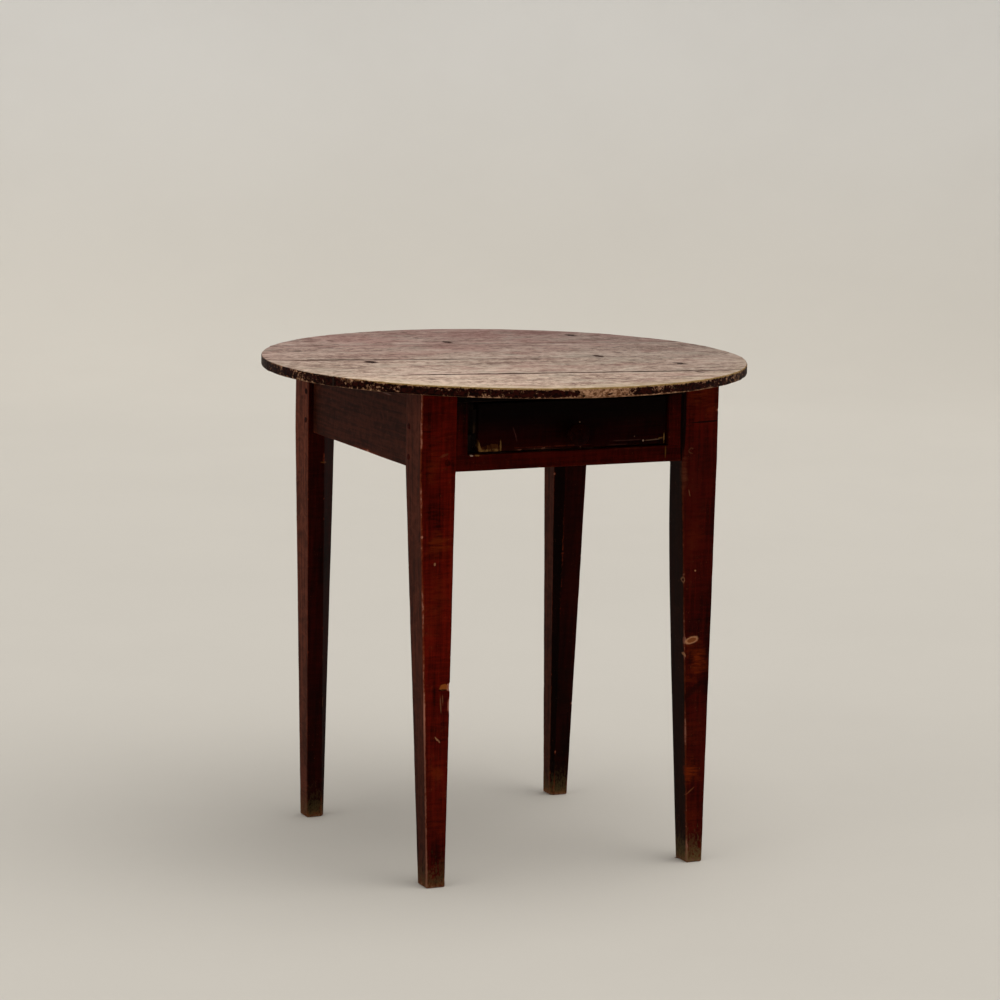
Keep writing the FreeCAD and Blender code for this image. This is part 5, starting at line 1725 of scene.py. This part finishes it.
class TABLE_OT_stage(bpy.types.Operator):
    """Make the floor with its backdrop, the lights and the camera"""

    bl_idname = "tavern_table.stage"
    bl_label = "Stage"

    def execute(self, context):
        settings = context.scene.tavern_stage
        self.backdrop(settings)
        self.lights(settings)
        self.camera(settings)
        context.scene.view_settings.view_transform = "Standard"
        return {"FINISHED"}

    def backdrop(self, settings):
        """Round floor that rises into a wall through a wide curve."""
        curve = STAGE_CURVE
        profile = [(0.0, 0.0), (FLAT_RADIUS, 0.0), (settings.radius - curve, 0.0)]
        for k in range(1, CURVE_STEPS + 1):
            angle = math.pi / 2 * k / CURVE_STEPS
            profile.append((settings.radius - curve * (1 - math.sin(angle)), curve * (1 - math.cos(angle))))
        profile.append((settings.radius, STAGE_HEIGHT))
        points = [(0.0, 0.0, 0.0)]
        for radius, level in profile[1:]:
            for k in range(STAGE_TURNS):
                angle = 2 * math.pi * k / STAGE_TURNS
                points.append((radius * math.cos(angle), radius * math.sin(angle), level))
        faces = fan_faces(0, 1, STAGE_TURNS) + ring_faces(len(profile) - 1, STAGE_TURNS, start=1)
        faces = flipped(faces)
        mesh = bpy.data.meshes.new("floor_and_backdrop")
        mesh.from_pydata(points, [], faces)
        mesh.shade_smooth()
        finish = Finish("studio_floor")
        mottle = finish.pattern(finish.place, (1.3, 1.3, 1.3), 4.0, 0.6)
        grit = finish.pattern(finish.place, (90.0, 90.0, 90.0), 3.0, 0.6)
        rise = finish.remap(finish.part(finish.place, 2), 0.05, 1.2)
        colour = finish.mix(rise, settings.floor, settings.wall)
        colour = finish.mix(finish.remap(mottle, 0.3, 0.7, 0.0, 0.10), colour, shaded(settings.floor, 0.8))
        finish.relieved(grit, 0.0004, 0.3)
        mesh.materials.append(finish.finished(colour, finish.remap(grit, 0.2, 0.8, 0.75, 0.9), 0.1))
        stage_object("floor_and_backdrop", mesh)

    def lights(self, settings):
        """A wide soft light from above, a weaker one from the left, and an even fill."""
        suns = (
            # strength, direction towards it, and its width in degrees
            ("key_light", settings.key, (0.28, -0.30, 1.0), 70),
            ("side_light", settings.side, (-1.0, -0.15, 0.55), 50),
        )
        for name, strength, towards, softness in suns:
            data = bpy.data.lights.new(name, "SUN")
            data.energy = strength
            data.angle = math.radians(softness)
            data.color = LAMP_COLOUR
            lamp = stage_object(name, data)
            lamp.rotation_mode = "QUATERNION"
            lamp.rotation_quaternion = Vector(towards).to_track_quat("Z", "Y")
        world = bpy.data.worlds.new("studio_world")
        world.use_nodes = True
        sky = world.node_tree.nodes["Background"]
        sky.inputs["Color"].default_value = (1.0, 1.0, 1.0, 1.0)
        sky.inputs["Strength"].default_value = settings.fill
        bpy.context.scene.world = world

    def camera(self, settings):
        data = bpy.data.cameras.new("camera")
        data.lens = settings.lens
        data.sensor_width = SENSOR_WIDTH
        lens = stage_object("camera", data)
        yaw, pitch, roll = settings.yaw, settings.pitch, settings.roll
        flat = math.cos(pitch)
        forward = Vector((math.sin(yaw) * flat, math.cos(yaw) * flat, -math.sin(pitch)))
        level_right = Vector((math.cos(yaw), -math.sin(yaw), 0.0))
        level_up = level_right.cross(forward)
        right = math.cos(roll) * level_right + math.sin(roll) * level_up
        up = -math.sin(roll) * level_right + math.cos(roll) * level_up
        turned = Matrix((right, up, -forward)).transposed().to_4x4()
        lens.matrix_world = Matrix.Translation(settings.camera_place) @ turned
        bpy.context.scene.camera = lens


# ---- panel and registration ----

STEPS = (
    TABLE_OT_top, TABLE_OT_legs, TABLE_OT_aprons, TABLE_OT_front_rails, TABLE_OT_drawer_front, TABLE_OT_knob,
    TABLE_OT_drawer_box, TABLE_OT_runners, TABLE_OT_fasteners, TABLE_OT_stage,
)
GROUPS = {"tavern_top": TopSettings, "tavern_paint": PaintSettings, "tavern_stage": StageSettings}


class VIEW3D_PT_tavern_table(bpy.types.Panel):
    """Settings and pieces of the tavern table"""

    bl_label = "Tavern table"
    bl_idname = "VIEW3D_PT_tavern_table"
    bl_space_type = "VIEW_3D"
    bl_region_type = "UI"
    bl_category = "Tavern table"

    def draw(self, context):
        for key, group in GROUPS.items():
            box = self.layout.box()
            box.label(text=group.__doc__)
            for setting in group.__annotations__:
                box.prop(getattr(context.scene, key), setting)
        for step in STEPS:
            self.layout.operator(step.bl_idname)


def register():
    for group in GROUPS.values():
        bpy.utils.register_class(group)
    for key, group in GROUPS.items():
        setattr(bpy.types.Scene, key, bpy.props.PointerProperty(type=group))
    for step in STEPS:
        bpy.utils.register_class(step)
    bpy.utils.register_class(VIEW3D_PT_tavern_table)


def unregister():
    bpy.utils.unregister_class(VIEW3D_PT_tavern_table)
    for step in reversed(STEPS):
        bpy.utils.unregister_class(step)
    for key in GROUPS:
        delattr(bpy.types.Scene, key)
    for group in GROUPS.values():
        bpy.utils.unregister_class(group)


def main():
    register()
    for step in STEPS:
        name = step.bl_idname.split(".")[1]
        getattr(bpy.ops.tavern_table, name)()


if __name__ == "__main__":
    main()
